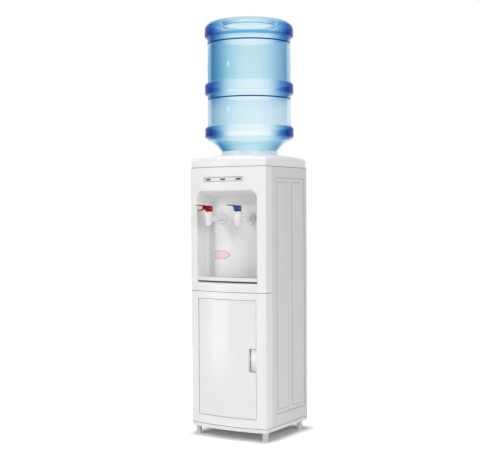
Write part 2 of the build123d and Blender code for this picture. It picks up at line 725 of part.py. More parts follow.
def lower_front_frame():
    """Lower front moulding with the door opening, its reveal and the plate behind the finger notch."""
    frame = front_moulding(BODY_Z, SPLIT_Z)
    opening = rectangle_at(-DOOR_OPENING, DOOR_OPENING, DOOR_SILL_Z, DOOR_HEAD_Z)
    wide = DOOR_OPENING + WALL
    reveal = rectangle_at(-wide, wide, DOOR_SILL_Z - WALL, DOOR_HEAD_Z + WALL)
    box = through_front(reveal, y1=REVEAL_Y) & raised(front_outline(0, REVEAL_Y), BODY_Z, SPLIT_Z)
    frame += box
    frame -= through_front(opening)
    plate_z0 = DOOR_Z + NOTCH_RISE - NOTCH_MARGIN
    plate_z1 = plate_z0 + NOTCH_HEIGHT + 2 * NOTCH_MARGIN
    plate_x = DOOR_HALF - NOTCH_WIDTH - NOTCH_MARGIN
    frame += bowed_plate(plate_x, DOOR_OPENING + WALL / 2, NOTCH_BACK, NOTCH_BACK + WALL, plate_z0, plate_z1)
    x, y = hinge_place()
    frame -= rod((x, y, DOOR_Z - PIN_REACH - PIN_CLEARANCE), (0, 0, 1), PIN_RADIUS + PIN_CLEARANCE, PIN_REACH)
    frame -= rod((x, y, DOOR_TOP_Z), (0, 0, 1), PIN_RADIUS + PIN_CLEARANCE, PIN_REACH + PIN_CLEARANCE)
    crease_x = DOOR_OPENING - CREASE
    return frame - creases(crease_x, BODY_Z, DOOR_SILL_Z) - creases(crease_x, DOOR_HEAD_Z, SPLIT_Z)


def door():
    """Bowed hollow door with a finger notch in its free edge, ribs and hinge bosses."""
    panel = bowed_plate(-DOOR_HALF, DOOR_HALF, 0, DOOR_THICKNESS, DOOR_Z, DOOR_TOP_Z)
    hinge_edges = panel.edges().filter_by(Axis.Z).sort_by(Axis.X)[:2]
    panel = fillet(hinge_edges, HINGE_EDGE)
    corners = panel.edges().filter_by(Axis.Y).sort_by(Axis.X)[-2:]
    rim = [edge for edge in on_front(panel) if (edge @ 0.5).X > HINGE_EDGE - DOOR_HALF + SEAM]
    panel = fillet(rim + corners, DOOR_EDGE)
    notch_z0 = DOOR_Z + NOTCH_RISE
    notch_z1 = notch_z0 + NOTCH_HEIGHT
    notch_x = DOOR_HALF - NOTCH_WIDTH
    inner = DOOR_HALF - DOOR_WALL
    pocket_z0, pocket_z1 = DOOR_Z + DOOR_WALL, DOOR_TOP_Z - DOOR_WALL
    pocket = bowed_plate(-inner, inner, WALL, 2 * DOOR_THICKNESS, pocket_z0, pocket_z1)
    ahead = FRONT_Y - 2 * FRONT_BOW
    pocket -= block(notch_x - DOOR_WALL, DOOR_HALF, ahead, WALL_Y, notch_z0 - DOOR_WALL, notch_z1 + DOOR_WALL)
    for z in (notch_z0 - NOTCH_HEIGHT, notch_z1 + NOTCH_HEIGHT):
        pocket -= block(-DOOR_HALF, DOOR_HALF, ahead, WALL_Y, z - DOOR_RIB / 2, z + DOOR_RIB / 2)
    x, y = hinge_place()
    depth = PIN_LENGTH - PIN_REACH
    for z in (DOOR_Z, DOOR_TOP_Z - depth - DOOR_WALL):
        pocket -= rod((x, y, z), (0, 0, 1), BOSS_RADIUS, depth + DOOR_WALL)
    panel -= pocket
    notch = rectangle_at(notch_x, DOOR_HALF + NOTCH_WIDTH, notch_z0, notch_z1, NOTCH_RADIUS)
    panel -= through_front(notch)
    bore = PIN_RADIUS + PRESS_FIT
    panel -= rod((x, y, DOOR_Z), (0, 0, 1), bore, depth)
    panel -= rod((x, y, DOOR_TOP_Z - depth), (0, 0, 1), bore, depth)
    return panel


def door_hinge_pins():
    """Two steel pins pressed into the door and standing into the rails."""
    x, y = hinge_place()
    depth = PIN_LENGTH - PIN_REACH
    lower = rod((x, y, DOOR_Z - PIN_REACH), (0, 0, 1), PIN_RADIUS, PIN_LENGTH)
    upper = rod((x, y, DOOR_TOP_Z - depth), (0, 0, 1), PIN_RADIUS, PIN_LENGTH)
    return Compound(children=[lower, upper])


def catch_heights():
    """Bottom and top of the magnetic catch."""
    z = DOOR_Z + CATCH_RISE
    return z, z + CATCH_HEIGHT


def door_strike():
    """Steel plate on the free edge of the door, facing the magnet."""
    z0, z1 = catch_heights()
    x1 = DOOR_HALF - DOOR_WALL / 2
    far = DOOR_THICKNESS + STRIKE_THICKNESS
    return bowed_plate(x1 - CATCH_WIDTH, x1, DOOR_THICKNESS, far, z0, z1)


def door_catch():
    """Magnetic catch fixed to the right reveal behind the strike."""
    z0, z1 = catch_heights()
    x1 = DOOR_OPENING
    near = DOOR_THICKNESS + STRIKE_THICKNESS + CATCH_GAP
    y0 = bow_y(x1, near)
    return block(x1 - CATCH_WIDTH, x1, y0, REVEAL_Y, z0, z1)


def cabinet_liner():
    """Open-fronted box of the storage cupboard, on two runners."""
    half = DOOR_OPENING + LINER_STEP
    z0, z1 = DOOR_SILL_Z - LINER_STEP, DOOR_HEAD_Z + LINER_STEP
    y0 = REVEAL_Y
    y1 = y0 + LINER_DEPTH
    outer = block(-half - LINER_WALL, half + LINER_WALL, y0, y1, z0 - LINER_WALL, z1 + LINER_WALL)
    liner = outer - block(-half, half, y0 - WALL, y1 - LINER_WALL, z0, z1)
    for x in (-half + RUNNER_INSET, half - RUNNER_INSET):
        x0, x1 = x - RUNNER_WIDTH / 2, x + RUNNER_WIDTH / 2
        liner += block(x0, x1, y0 + RUNNER_INSET, y1, BODY_Z, z0 - LINER_WALL)
    return liner


def crown(drop):
    """Ball whose top makes the crowned lid, lowered by drop; its poles lie to the sides."""
    corner = HALF**2 + max(BOTTLE_SETBACK, BODY_DEPTH - BOTTLE_SETBACK) ** 2
    land = (COLLAR_RADIUS + WALL) ** 2
    radius = (corner - land) / (2 * COVER_CROWN)
    centre_z = LAND_Z - math.sqrt(radius**2 - land)
    return Pos(0, BOTTLE_Y, centre_z) * Rot(0, 90, 0) * Sphere(radius - drop)


def lid_form(inset, z0, z1):
    """Crowned lid shape with rounded edges from z0 up to a flat at z1, in by inset all round."""
    form = raised(front_outline(inset, REAR_Y - inset, LID_CORNER), z0, LAND_Z + COVER_CROWN)
    rear = [edge for edge in form.edges().filter_by(Axis.Z) if edge.center().Y > BOTTLE_Y]
    form = fillet(rear, LID_CORNER - inset) & crown(inset)
    top = form.faces().filter_by(GeomType.SPHERE)[0]
    form = fillet(top.outer_wire().edges(), LID_EDGE - inset)
    return form & block(-BODY_WIDTH, BODY_WIDTH, FRONT_Y - BODY_DEPTH, REAR_Y + WALL, z0, z1)


def top_cover():
    """Crowned lid moulding with a flat land for the collar and a hole for the bottle seat."""
    cover = lid_form(0, COVER_Z, LAND_Z) - lid_form(WALL, COVER_Z - WALL, LAND_Z - WALL)
    cover -= rod((0, BOTTLE_Y, COVER_Z), (0, 0, 1), COVER_HOLE, COVER_EDGE + COVER_CROWN + WALL)
    return cover - joint_line(COVER_Z)


def waist_groove(waist, z):
    """Three corners of a shallow ring groove in a waist of the bottle, from below upwards."""
    return [(waist, z - GROOVE_DEPTH), (waist - GROOVE_DEPTH, z), (waist, z + GROOVE_DEPTH)]


def bottle_points(inset):
    """Half profile of the upturned bottle, in by inset, with the corners to round."""
    ring, waist, neck = BOTTLE_RING - inset, BOTTLE_WAIST - inset, NECK_RADIUS - inset
    root = NECK_ROOT_Z + (SHOULDER_TILT - SHOULDER_SLOPE) * inset
    ring_z = NECK_ROOT_Z + SHOULDER_TOP
    ring_top = ring_z + RING_FLAT
    middle_z = ring_top + RING_SLOPE + LOWER_WAIST + RING_SLOPE
    middle_top = middle_z + RING_FLAT
    crown_z = middle_top + RING_SLOPE + UPPER_WAIST
    top = crown_z + CROWN_SLOPE + CROWN_HEIGHT - inset
    shoulder, shoulder_z = SHOULDER_RADIUS - inset, root + SHOULDER_RISE
    out, up = ring - shoulder, ring_z - shoulder_z
    points = [
        (0, MOUTH_Z - inset),
        (neck, MOUTH_Z - inset),
        (neck, root),
        (shoulder, shoulder_z),
        *[(shoulder + across * out, shoulder_z + rise * up) for across, rise in SHOULDER_KNEES],
        (ring, ring_z),
        (ring, ring_top),
        (waist, ring_top + RING_SLOPE),
        *waist_groove(waist, middle_z - RING_SLOPE - GROOVE_DROPS[0]),
        (waist, middle_z - RING_SLOPE),
        (ring, middle_z),
        (ring, middle_top),
        (waist, middle_top + RING_SLOPE),
        *waist_groove(waist, crown_z - GROOVE_DROPS[1]),
        (waist, crown_z),
        (ring, crown_z + CROWN_SLOPE),
        (ring, top),
        (HEEL_RADIUS, top),
        (HEEL_RADIUS - HEEL_DEPTH, top - HEEL_DEPTH),
        (0, top - HEEL_DEPTH),
    ]
    rounds = [(2, NECK_BLEND), (3, SHOULDER_BLEND), (4, KNEE_BLEND), (5, KNEE_BLEND)]
    rounds += [(index, HOOP_BLEND) for index in (6, 7, 8, 12, 13, 14, 15)]
    rounds += [(19, CROWN_BLEND), (20, CROWN_BLEND), (21, CROWN_RADIUS - inset)]
    rounds += [(22, HEEL_EDGE), (23, HEEL_BLEND)]
    return points, rounds


def bottle():
    """Hollow upturned bottle with three hoops, an open neck and a dished base."""
    outer = turned(*bottle_points(0))
    inner = turned(*bottle_points(BOTTLE_WALL))
    return Pos(0, BOTTLE_Y, 0) * (outer - inner)


def seat_z(radius, drop):
    """Height of the collar's cone at a radius, that far below the bottle's shoulder."""
    return NECK_ROOT_Z + (radius - NECK_RADIUS) * SHOULDER_SLOPE - drop


def bottle_collar():
    """Ring on the lid with a conical seat, a well for the bottle neck and a spout into the cold tank."""
    guide = NECK_RADIUS + GUIDE_CLEARANCE
    outer = guide + SEAT_WALL
    top = COLLAR_RADIUS - COLLAR_TAPER
    land = COLLAR_RADIUS - COLLAR_LAND
    under = SEAT_GAP + SHOULDER_TILT * SEAT_WALL
    underside = COLLAR_FLOOR_Z - SEAT_WALL
    spout_z = underside - SPOUT_LENGTH
    collar = turned(
        [
            (SPOUT_BORE, COLLAR_FLOOR_Z),
            (guide, COLLAR_FLOOR_Z),
            (guide, seat_z(guide, SEAT_GAP)),
            (top, seat_z(top, SEAT_GAP)),
            (COLLAR_RADIUS, LAND_Z),
            (land, LAND_Z),
            (land, seat_z(land, under)),
            (outer, seat_z(outer, under)),
            (outer, underside),
            (SPOUT_RADIUS, underside),
            (SPOUT_RADIUS, spout_z),
            (SPOUT_BORE, spout_z),
        ],
        [(2, SEAT_EDGE)],
    )
    return Pos(0, BOTTLE_Y, 0) * collar


def cooling_z():
    """Height of the middle of the cooling stack."""
    return COLD_TANK_Z + COLD_TANK_HEIGHT / 2


def outlets(z):
    """Positions of the cold outlet and of the feed to the hot tank, at height z."""
    return (OUTLET_OFFSET, BOTTLE_Y, z), (-OUTLET_OFFSET, BOTTLE_Y, z)


def cold_tank():
    """Steel cold-water tank with two spigots in its floor."""
    radius = COLD_TANK_RADIUS
    tank = turned(
        [
            (0, COLD_TANK_Z),
            (radius, COLD_TANK_Z),
            (radius, LID_Z),
            (radius - TANK_WALL, LID_Z),
            (radius - TANK_WALL, COLD_TANK_Z + TANK_WALL),
            (0, COLD_TANK_Z + TANK_WALL),
        ]
    )
    tank = Pos(0, BOTTLE_Y, 0) * tank
    for place in outlets(COLD_TANK_Z + TANK_WALL):
        tank += rod(place, (0, 0, -1), OUTLET_RADIUS, OUTLET_LENGTH)
        tank -= rod(place, (0, 0, -1), OUTLET_RADIUS - TANK_WALL, OUTLET_LENGTH + TANK_WALL)
    return tank


def cold_tank_lid():
    """Lid on the cold tank with a socket for the spout."""
    radius = COLD_TANK_RADIUS + LID_OVERHANG
    socket = SPOUT_RADIUS + FIT
    ring = [
        (socket, LID_Z),
        (radius, LID_Z),
        (radius, LID_Z + LID_HEIGHT),
        (socket + LID_HEIGHT, LID_Z + LID_HEIGHT),
        (socket + LID_HEIGHT, LID_Z + LID_HEIGHT + LID_DROP - SEAM),
        (socket, LID_Z + LID_HEIGHT + LID_DROP - SEAM),
    ]
    return Pos(0, BOTTLE_Y, 0) * turned(ring)


def cold_tank_jacket():
    """Foam jacket round the cold tank, open for the cold block and the spigots."""
    inner = COLD_TANK_RADIUS + JACKET_FIT
    outer = COLD_TANK_RADIUS + COLD_JACKET
    floor_z = COLD_TANK_Z - JACKET_FIT
    shelf_z = COLD_SHELF_Z
    top = LID_Z - SEAM
    wall = [(0, shelf_z), (outer, shelf_z), (outer, top), (inner, top), (inner, floor_z), (0, floor_z)]
    jacket = Pos(0, BOTTLE_Y, 0) * turned(wall)
    for place in outlets(COLD_TANK_Z):
        jacket -= rod(place, (0, 0, -1), OUTLET_RADIUS + JACKET_FIT, COLD_JACKET)
    half, z = COLD_BLOCK / 2 + JACKET_FIT, cooling_z()
    jacket -= block(-half, half, BOTTLE_Y, BACK_Y, z - half, z + half)
    return jacket


def cold_tank_shelf():
    """Sheet-metal shelf across the body that carries the cold tank."""
    half = HALF - WALL
    y0, y1 = WALL_Y + SHELF_SETBACK, BOTTLE_Y + COLD_TANK_RADIUS
    z = COLD_SHELF_Z
    shelf = block(-half, half, y0, y1, z - SHEET, z)
    for side in (-1, 1):
        shelf += block(side * half, side * (half - SHEET), y0, y1, z - DECK_FLANGE, z)
    for place in outlets(z + SHEET):
        shelf -= rod(place, (0, 0, -1), HOSE_RADIUS + FIT, 3 * SHEET)
    return shelf


def cold_block():
    """Aluminium block that carries cold from the module to the tank wall."""
    half, z = COLD_BLOCK / 2, cooling_z()
    y1 = BOTTLE_Y + COLD_TANK_RADIUS + COLD_BLOCK_DEPTH
    shape = block(-half, half, BOTTLE_Y + COLD_TANK_RADIUS / 2, y1, z - half, z + half)
    return shape - rod((0, BOTTLE_Y, COLD_TANK_Z), (0, 0, 1), COLD_TANK_RADIUS + HOSE_FIT, COLD_TANK_HEIGHT)


def stack_y():
    """Rear face of the cold block, where the cooling stack starts."""
    return BOTTLE_Y + COLD_TANK_RADIUS + COLD_BLOCK_DEPTH


def cooling_module():
    """Thermoelectric module between the cold block and the heat sink."""
    half, z = MODULE_SIZE / 2, cooling_z()
    return block(-half, half, stack_y(), stack_y() + MODULE_THICKNESS, z - half, z + half)


def heat_sink():
    """Finned heat sink reaching back to the fan."""
    half, z = SINK_SIZE / 2, cooling_z()
    y0 = stack_y() + MODULE_THICKNESS
    y1 = y0 + SINK_BASE
    sink = block(-half, half, y0, y1, z - half, z + half)
    pitch = (SINK_SIZE - FIN_THICKNESS) / (FIN_COUNT - 1)
    for index in range(FIN_COUNT):
        x = -half + index * pitch
        sink += block(x, x + FIN_THICKNESS, y0, BACK_Y - FAN_DEPTH, z - half, z + half)
    return sink


def fan_frame():
    """Square fan housing with a hub and shaft held by struts."""
    half, z = FAN_SIZE / 2, cooling_z()
    y0 = BACK_Y - FAN_DEPTH
    strut_y = BACK_Y - FAN_STRUT_HEIGHT
    frame = block(-half, half, y0, BACK_Y, z - half, z + half)
    frame -= rod((0, y0 - WALL, z), (0, 1, 0), FAN_BORE, FAN_DEPTH + 2 * WALL)
    frame += rod((0, strut_y, z), (0, 1, 0), FAN_HUB, FAN_STRUT_HEIGHT)
    for angle in (30, 150, 270):
        strut = block(0, FAN_BORE + SEAM, strut_y, BACK_Y, -FAN_STRUT / 2, FAN_STRUT / 2)
        frame += Pos(0, 0, z) * Rot(0, angle, 0) * strut
    return frame + rod((0, strut_y, z), (0, -1, 0), FAN_SHAFT, FAN_HUB_HEIGHT)


def fan_rotor():
    """Fan hub with pitched blades, running on the shaft of the frame."""
    z = cooling_z()
    rear = BACK_Y - FAN_STRUT_HEIGHT - SEAM
    start = (0, rear, 0)
    rotor = rod(start, (0, -1, 0), FAN_HUB, FAN_HUB_HEIGHT)
    reach = FAN_BORE - FAN_BLADE_GAP
    height = FAN_HUB_HEIGHT / math.sin(math.radians(BLADE_PITCH))
    middle = rear - FAN_HUB_HEIGHT / 2
    blades = None
    for index in range(BLADE_COUNT):
        blade = Box(BLADE_THICKNESS, height, reach, align=(Align.CENTER, Align.CENTER, Align.MIN))
        blade = Rot(0, index * 360 / BLADE_COUNT, 0) * (Rot(0, 0, 90 - BLADE_PITCH) * blade)
        blades = blade if blades is None else blades + blade
    blades = Pos(0, middle, 0) * blades
    blades &= rod(start, (0, -1, 0), reach, FAN_HUB_HEIGHT)
    rotor += blades
    rotor -= rod(start, (0, -1, 0), FAN_SHAFT + FAN_SHAFT_FIT, FAN_HUB_HEIGHT + SEAM)
    return Pos(0, 0, z) * rotor


def service_deck():
    """Sheet-metal deck across the body that carries the hot tank and the power board."""
    half = HALF - WALL
    y0 = WALL_Y + FLANGE
    deck = block(-half, half, y0, BACK_Y, DECK_Z, DECK_Z + SHEET)
    for side in (-1, 1):
        deck += block(side * half, side * (half - SHEET), y0, BACK_Y, DECK_Z, DECK_Z + DECK_FLANGE)
    return deck


def at_hot(shape):
    """Shape moved onto the axis of the hot tank."""
    return Pos(-TAP_X, HOT_Y, 0) * shape


def hot_tank():
    """Steel hot-water tank with two spigots in its top and a drain port at its foot."""
    radius = HOT_TANK_RADIUS
    foot = (-TAP_X, HOT_Y, HOT_TANK_Z)
    inside = (-TAP_X, HOT_Y, HOT_TANK_Z + TANK_WALL)
    tank = rod(foot, (0, 0, 1), radius, HOT_TANK_HEIGHT)
    tank -= rod(inside, (0, 0, 1), radius - TANK_WALL, HOT_TANK_HEIGHT - 2 * TANK_WALL)
    for x, y in hot_ports():
        start = (x, y, HOT_TOP_Z - TANK_WALL)
        tank += rod(start, (0, 0, 1), OUTLET_RADIUS, OUTLET_LENGTH)
        tank -= rod(start, (0, 0, 1), OUTLET_RADIUS - TANK_WALL, OUTLET_LENGTH + TANK_WALL)
    drain = (-TAP_X, HOT_Y, HOT_TANK_Z + DRAIN_RISE)
    return tank - rod(drain, (0, 1, 0), DRAIN_BORE, 2 * radius)


def hot_ports():
    """Plan positions of the hot outlet and of the feed from the cold tank."""
    return (-TAP_X, HOT_Y), (-OUTLET_OFFSET, BOTTLE_Y)


def hot_tank_jacket():
    """Insulating jacket round the hot tank, with room for the heater band."""
    inner = HOT_TANK_RADIUS + JACKET_FIT
    outer = HOT_TANK_RADIUS + HOT_JACKET
    top = HOT_TOP_Z + HOT_JACKET
    jacket = turned([(0, HOT_JACKET_Z), (outer, HOT_JACKET_Z), (outer, top), (0, top)])
    ceiling = HOT_TOP_Z + JACKET_FIT
    jacket -= turned([(0, HOT_TANK_Z), (inner, HOT_TANK_Z), (inner, ceiling), (0, ceiling)])
    band_z = HOT_TANK_Z + HEATER_RISE
    band = inner + HEATER_THICKNESS + 2 * JACKET_FIT
    band_top = band_z + HEATER_HEIGHT
    jacket -= turned([(0, band_z), (band, band_z), (band, band_top), (0, band_top)])
    jacket = at_hot(jacket)
    for x, y in hot_ports():
        jacket -= rod((x, y, HOT_TOP_Z), (0, 0, 1), HOSE_RADIUS + FIT, 2 * HOT_JACKET)
    for z in thermostat_heights():
        start = (-TAP_X - HOT_TANK_RADIUS, HOT_Y, z)
        jacket -= rod(start, (-1, 0, 0), THERMOSTAT_RADIUS + FIT, 2 * HOT_JACKET)
    drain = (-TAP_X, HOT_Y, HOT_TANK_Z + DRAIN_RISE)
    return jacket - rod(drain, (0, 1, 0), DRAIN_RADIUS + FIT, 2 * outer)


def thermostat_heights():
    """Heights of the two thermostats on the side of the hot tank."""
    start = HOT_TANK_Z + HEATER_RISE + HEATER_HEIGHT + 2 * THERMOSTAT_RADIUS
    return start, start + 3 * THERMOSTAT_RADIUS


def heater_band():
    """Band heater clamped round the hot tank."""
    inner = HOT_TANK_RADIUS + JACKET_FIT
    outer = inner + HEATER_THICKNESS
    z = HOT_TANK_Z + HEATER_RISE + JACKET_FIT
    top = z + HEATER_HEIGHT - 2 * JACKET_FIT
    return at_hot(turned([(inner, z), (outer, z), (outer, top), (inner, top)]))


def thermostats():
    """Two disc thermostats on the wall of the hot tank."""
    discs = []
    x = -TAP_X - HOT_TANK_RADIUS - JACKET_FIT
    for z in thermostat_heights():
        discs.append(rod((x, HOT_Y, z), (-1, 0, 0), THERMOSTAT_RADIUS, THERMOSTAT_DEPTH))
    return Compound(children=discs)


def drain_pipe():
    """Pipe from the foot of the hot tank out through the back panel."""
    start_y = HOT_Y + HOT_TANK_RADIUS + JACKET_FIT
    z = HOT_TANK_Z + DRAIN_RISE
    length = BACK_Y + SHEET + DRAIN_TAIL - start_y
    pipe = rod((-TAP_X, start_y, z), (0, 1, 0), DRAIN_RADIUS, length)
    return pipe - rod((-TAP_X, start_y - WALL, z), (0, 1, 0), DRAIN_BORE, length + 2 * WALL)


def drain_cap():
    """Cap over the end of the drain pipe."""
    z = HOT_TANK_Z + DRAIN_RISE
    y0 = BACK_Y + SHEET + SEAM
    end = BACK_Y + SHEET + DRAIN_TAIL + SEAM
    cap = rod((-TAP_X, y0, z), (0, 1, 0), DRAIN_CAP_RADIUS, end + DRAIN_CAP_WALL - y0)
    return cap - rod((-TAP_X, y0 - WALL, z), (0, 1, 0), DRAIN_RADIUS + FIT, end + WALL - y0)


def hose(points, bends):
    """Hose along straight runs joined by tangent arcs."""
    path = FilletPolyline(*points, radius=bends) if bends else Line(*points)
    start = path.edges()[0]
    place = Plane(origin=start @ 0, z_dir=start % 0)
    ring = Circle(HOSE_RADIUS) - Circle(OUTLET_RADIUS + HOSE_FIT)
    return sweep(place * ring, path=path)


def cold_hose():
    """Hose from the cold tank to the cold tap."""
    top = COLD_TANK_Z - OUTLET_LENGTH + HOSE_GRIP
    tail_y = WALL_Y + SHANK_TAIL + SEAM
    turn_y = (tail_y + BOTTLE_Y) / 2
    points = [(OUTLET_OFFSET, BOTTLE_Y, top), (OUTLET_OFFSET, BOTTLE_Y, TAP_Z)]
    points += [(TAP_X, turn_y, TAP_Z), (TAP_X, tail_y, TAP_Z)]
    return hose(points, [TIGHT_BEND, HOSE_BEND])


def hot_hose():
    """Hose from the hot tank up to the hot tap."""
    bottom = HOT_TOP_Z + OUTLET_LENGTH - HOSE_GRIP
    points = [(-TAP_X, HOT_Y, bottom), (-TAP_X, HOT_Y, TAP_Z), (-TAP_X, WALL_Y + SHANK_TAIL + SEAM, TAP_Z)]
    return hose(points, [WIDE_BEND])


def feed_hose():
    """Straight hose from the cold tank down to the hot tank."""
    top = COLD_TANK_Z - OUTLET_LENGTH + HOSE_GRIP
    bottom = HOT_TOP_Z + OUTLET_LENGTH - HOSE_GRIP
    points = [(-OUTLET_OFFSET, BOTTLE_Y, bottom), (-OUTLET_OFFSET, BOTTLE_Y, top)]
    return hose(points, None)


def power_board():
    """Power supply board on standoffs, with its transformer and capacitors."""
    z = DECK_Z + SHEET + STANDOFF
    half_x, half_y = BOARD_WIDTH / 2, BOARD_LENGTH / 2
    board = block(BOARD_X - half_x, BOARD_X + half_x, HOT_Y - half_y, HOT_Y + half_y, z, z + BOARD_THICKNESS)
    for x in (BOARD_X - half_x + STANDOFF, BOARD_X + half_x - STANDOFF):
        for y in (HOT_Y - half_y + STANDOFF, HOT_Y + half_y - STANDOFF):
            board += rod((x, y, DECK_Z + SHEET), (0, 0, 1), STANDOFF / 2, STANDOFF)
    top = z + BOARD_THICKNESS
    x0, x1 = BOARD_X - half_x / 2, BOARD_X + half_x / 2
    board += block(x0, x1, HOT_Y - half_y / 2, HOT_Y, top, top + TRANSFORMER_HEIGHT)
    for x in (x0, x1):
        board += rod((x, HOT_Y + half_y / 2, top), (0, 0, 1), CAPACITOR_RADIUS, CAPACITOR_HEIGHT)
    return board


def power_inlet():
    """Recessed mains inlet with three blades in the back panel."""
    half, rise = INLET_WIDTH / 2, INLET_HEIGHT / 2
    face = BACK_Y + SHEET
    inlet = block(INLET_X - half, INLET_X + half, face - INLET_DEPTH, face, INLET_Z - rise, INLET_Z + rise)
    wide, tall = half + INLET_RIM, rise + INLET_RIM
    inlet += block(INLET_X - wide, INLET_X + wide, face, face + INLET_RIM, INLET_Z - tall, INLET_Z + tall)
    inner, low = half - INLET_RIM / 2, rise - INLET_RIM / 2
    floor = face - INLET_DEPTH + INLET_RIM
    mouth = face + 2 * INLET_RIM
    inlet -= block(INLET_X - inner, INLET_X + inner, floor, mouth, INLET_Z - low, INLET_Z + low)
    for step_x, step_z in ((-1, -1), (1, -1), (0, 1)):
        x, z = INLET_X + step_x * inner / 2, INLET_Z + step_z * low / 3
        half_x, half_z = BLADE_WIDTH / 2, BLADE_HEIGHT / 2
        inlet += block(x - half_x, x + half_x, floor, floor + BLADE_LENGTH, z - half_z, z + half_z)
    return inlet


def switch_places():
    """X of the two rocker switches."""
    return SWITCH_X - SWITCH_PITCH / 2, SWITCH_X + SWITCH_PITCH / 2


def switch_housing(x):
    """Open box with a rim in the back panel that holds one rocker."""
    half, rise = SWITCH_WIDTH / 2, SWITCH_HEIGHT / 2
    face = BACK_Y + SHEET
    wide, tall = half + SWITCH_WALL, rise + SWITCH_WALL
    box = block(x - wide, x + wide, face - SWITCH_DEPTH, face, SWITCH_Z - tall, SWITCH_Z + tall)
    rim, edge = wide + SWITCH_RIM, tall + SWITCH_RIM
    box += block(x - rim, x + rim, face, face + SWITCH_WALL, SWITCH_Z - edge, SWITCH_Z + edge)
    floor = face - SWITCH_DEPTH + SWITCH_WALL
    box -= block(x - half, x + half, floor, face + WALL, SWITCH_Z - rise, SWITCH_Z + rise)
    pivot = (x - wide, rocker_y(), SWITCH_Z)
    return box - rod(pivot, (1, 0, 0), LEVER_PIN + EYE_CLEARANCE, 2 * wide)


def switch_housings():
    """Both switch boxes."""
    return Compound(children=[switch_housing(x) for x in switch_places()])


def rocker_y():
    """Y of the rocker pivots."""
    return BACK_Y + SHEET - SWITCH_DEPTH / 4


def rocker(x):
    """Rocker with a dished thumb face and trunnions, resting tipped one way."""
    half = SWITCH_WIDTH / 2 - FIT
    y = rocker_y()
    dish_y = y + ROCKER_DISH + SWITCH_DEPTH / 4 + SWITCH_WALL
    rise = SWITCH_HEIGHT / 2 - 2 * FIT
    shape = rod((x - half, y, SWITCH_Z), (1, 0, 0), rise, 2 * half)
    shape -= rod((x - 2 * half, dish_y, SWITCH_Z), (1, 0, 0), ROCKER_DISH, 4 * half)
    reach = half + SWITCH_WALL
    shape += rod((x - reach, y, SWITCH_Z), (1, 0, 0), LEVER_PIN, 2 * reach)
    return shape.rotate(Axis((x, y, SWITCH_Z), (1, 0, 0)), ROCKER_TILT)


def tap_body(x):
    """Tap body: tapered barrel and nozzle, shank through the wall and the rosette on it."""
    nozzle_z = TAP_Z - NOZZLE_DROP
    barrel = turned(
        [
            (0, nozzle_z),
            (NOZZLE_RADIUS, nozzle_z),
            (BARREL_RADIUS, TAP_Z + SHANK_RADIUS),
            (BARREL_RADIUS, BONNET_Z - BONNET_HEIGHT),
            (BONNET_RADIUS, BONNET_Z - BONNET_HEIGHT),
            (BONNET_RADIUS, BONNET_Z),
            (0, BONNET_Z),
        ],
        [(2, BARREL_BLEND), (5, BONNET_EDGE)],
    )
    tail_y = WALL_Y + SHANK_TAIL
    tap = Pos(x, TAP_Y, 0) * barrel
    tap += rod((x, TAP_Y, TAP_Z), (0, 1, 0), SHANK_RADIUS, tail_y - TAP_Y)
    rosette = turned(
        [
            (0, 0),
            (ROSETTE_RADIUS, 0),
            (ROSETTE_RADIUS, ROSETTE_RIM),
            (ROSETTE_FACE, ROSETTE_THICKNESS),
            (0, ROSETTE_THICKNESS),
        ],
        [(2, ROSETTE_EDGE), (3, ROSETTE_EDGE)],
    )
    tap += Pos(x, WALL_Y, TAP_Z) * (Rot(90, 0, 0) * rosette)
    valve_z = TAP_Z - SHANK_RADIUS + TANK_WALL
    tap -= rod((x, TAP_Y, nozzle_z), (0, 0, 1), NOZZLE_BORE, valve_z - nozzle_z + WALL)
    tap -= rod((x, TAP_Y, valve_z), (0, 0, 1), VALVE_BORE, BONNET_Z - BONNET_HEIGHT - valve_z)
    tap -= rod((x, TAP_Y, valve_z), (0, 0, 1), STEM_RADIUS + STEM_CLEARANCE, BONNET_Z - valve_z + WALL)
    tap -= rod((x, TAP_Y, TAP_Z), (0, 1, 0), WATERWAY, tail_y - TAP_Y + WALL)
    return tap


def tap_stem(x):
    """Valve stem with a flat eye for the lever pin and a spigot for the seal."""
    foot_z = TAP_Z - SHANK_RADIUS + TANK_WALL + SEAL_LIFT + SEAL_HEIGHT / 2
    stem = rod((x, TAP_Y, foot_z), (0, 0, 1), STEM_RADIUS, PIVOT_Z - foot_z)
    half = LEVER_SLOT / 2 - FIT
    stem += rod((x - half, TAP_Y, PIVOT_Z), (1, 0, 0), STEM_EYE, 2 * half)
    return stem - rod((x - 2 * half, TAP_Y, PIVOT_Z), (1, 0, 0), LEVER_PIN + EYE_CLEARANCE, 4 * half)


def tap_seal(x):
    """Soft valve seal on the foot of the stem."""
    foot_z = TAP_Z - SHANK_RADIUS + TANK_WALL + SEAL_LIFT
    seal = turned(
        [
            (0, foot_z),
            (SEAL_RADIUS - SEAL_CHAMFER, foot_z),
            (SEAL_RADIUS, foot_z + SEAL_CHAMFER),
            (SEAL_RADIUS, foot_z + SEAL_HEIGHT),
            (0, foot_z + SEAL_HEIGHT),
        ]
    )
    socket = rod((0, 0, foot_z + SEAL_HEIGHT / 2), (0, 0, 1), STEM_RADIUS + PRESS_FIT, SEAL_HEIGHT)
    return Pos(x, TAP_Y, 0) * (seal - socket)


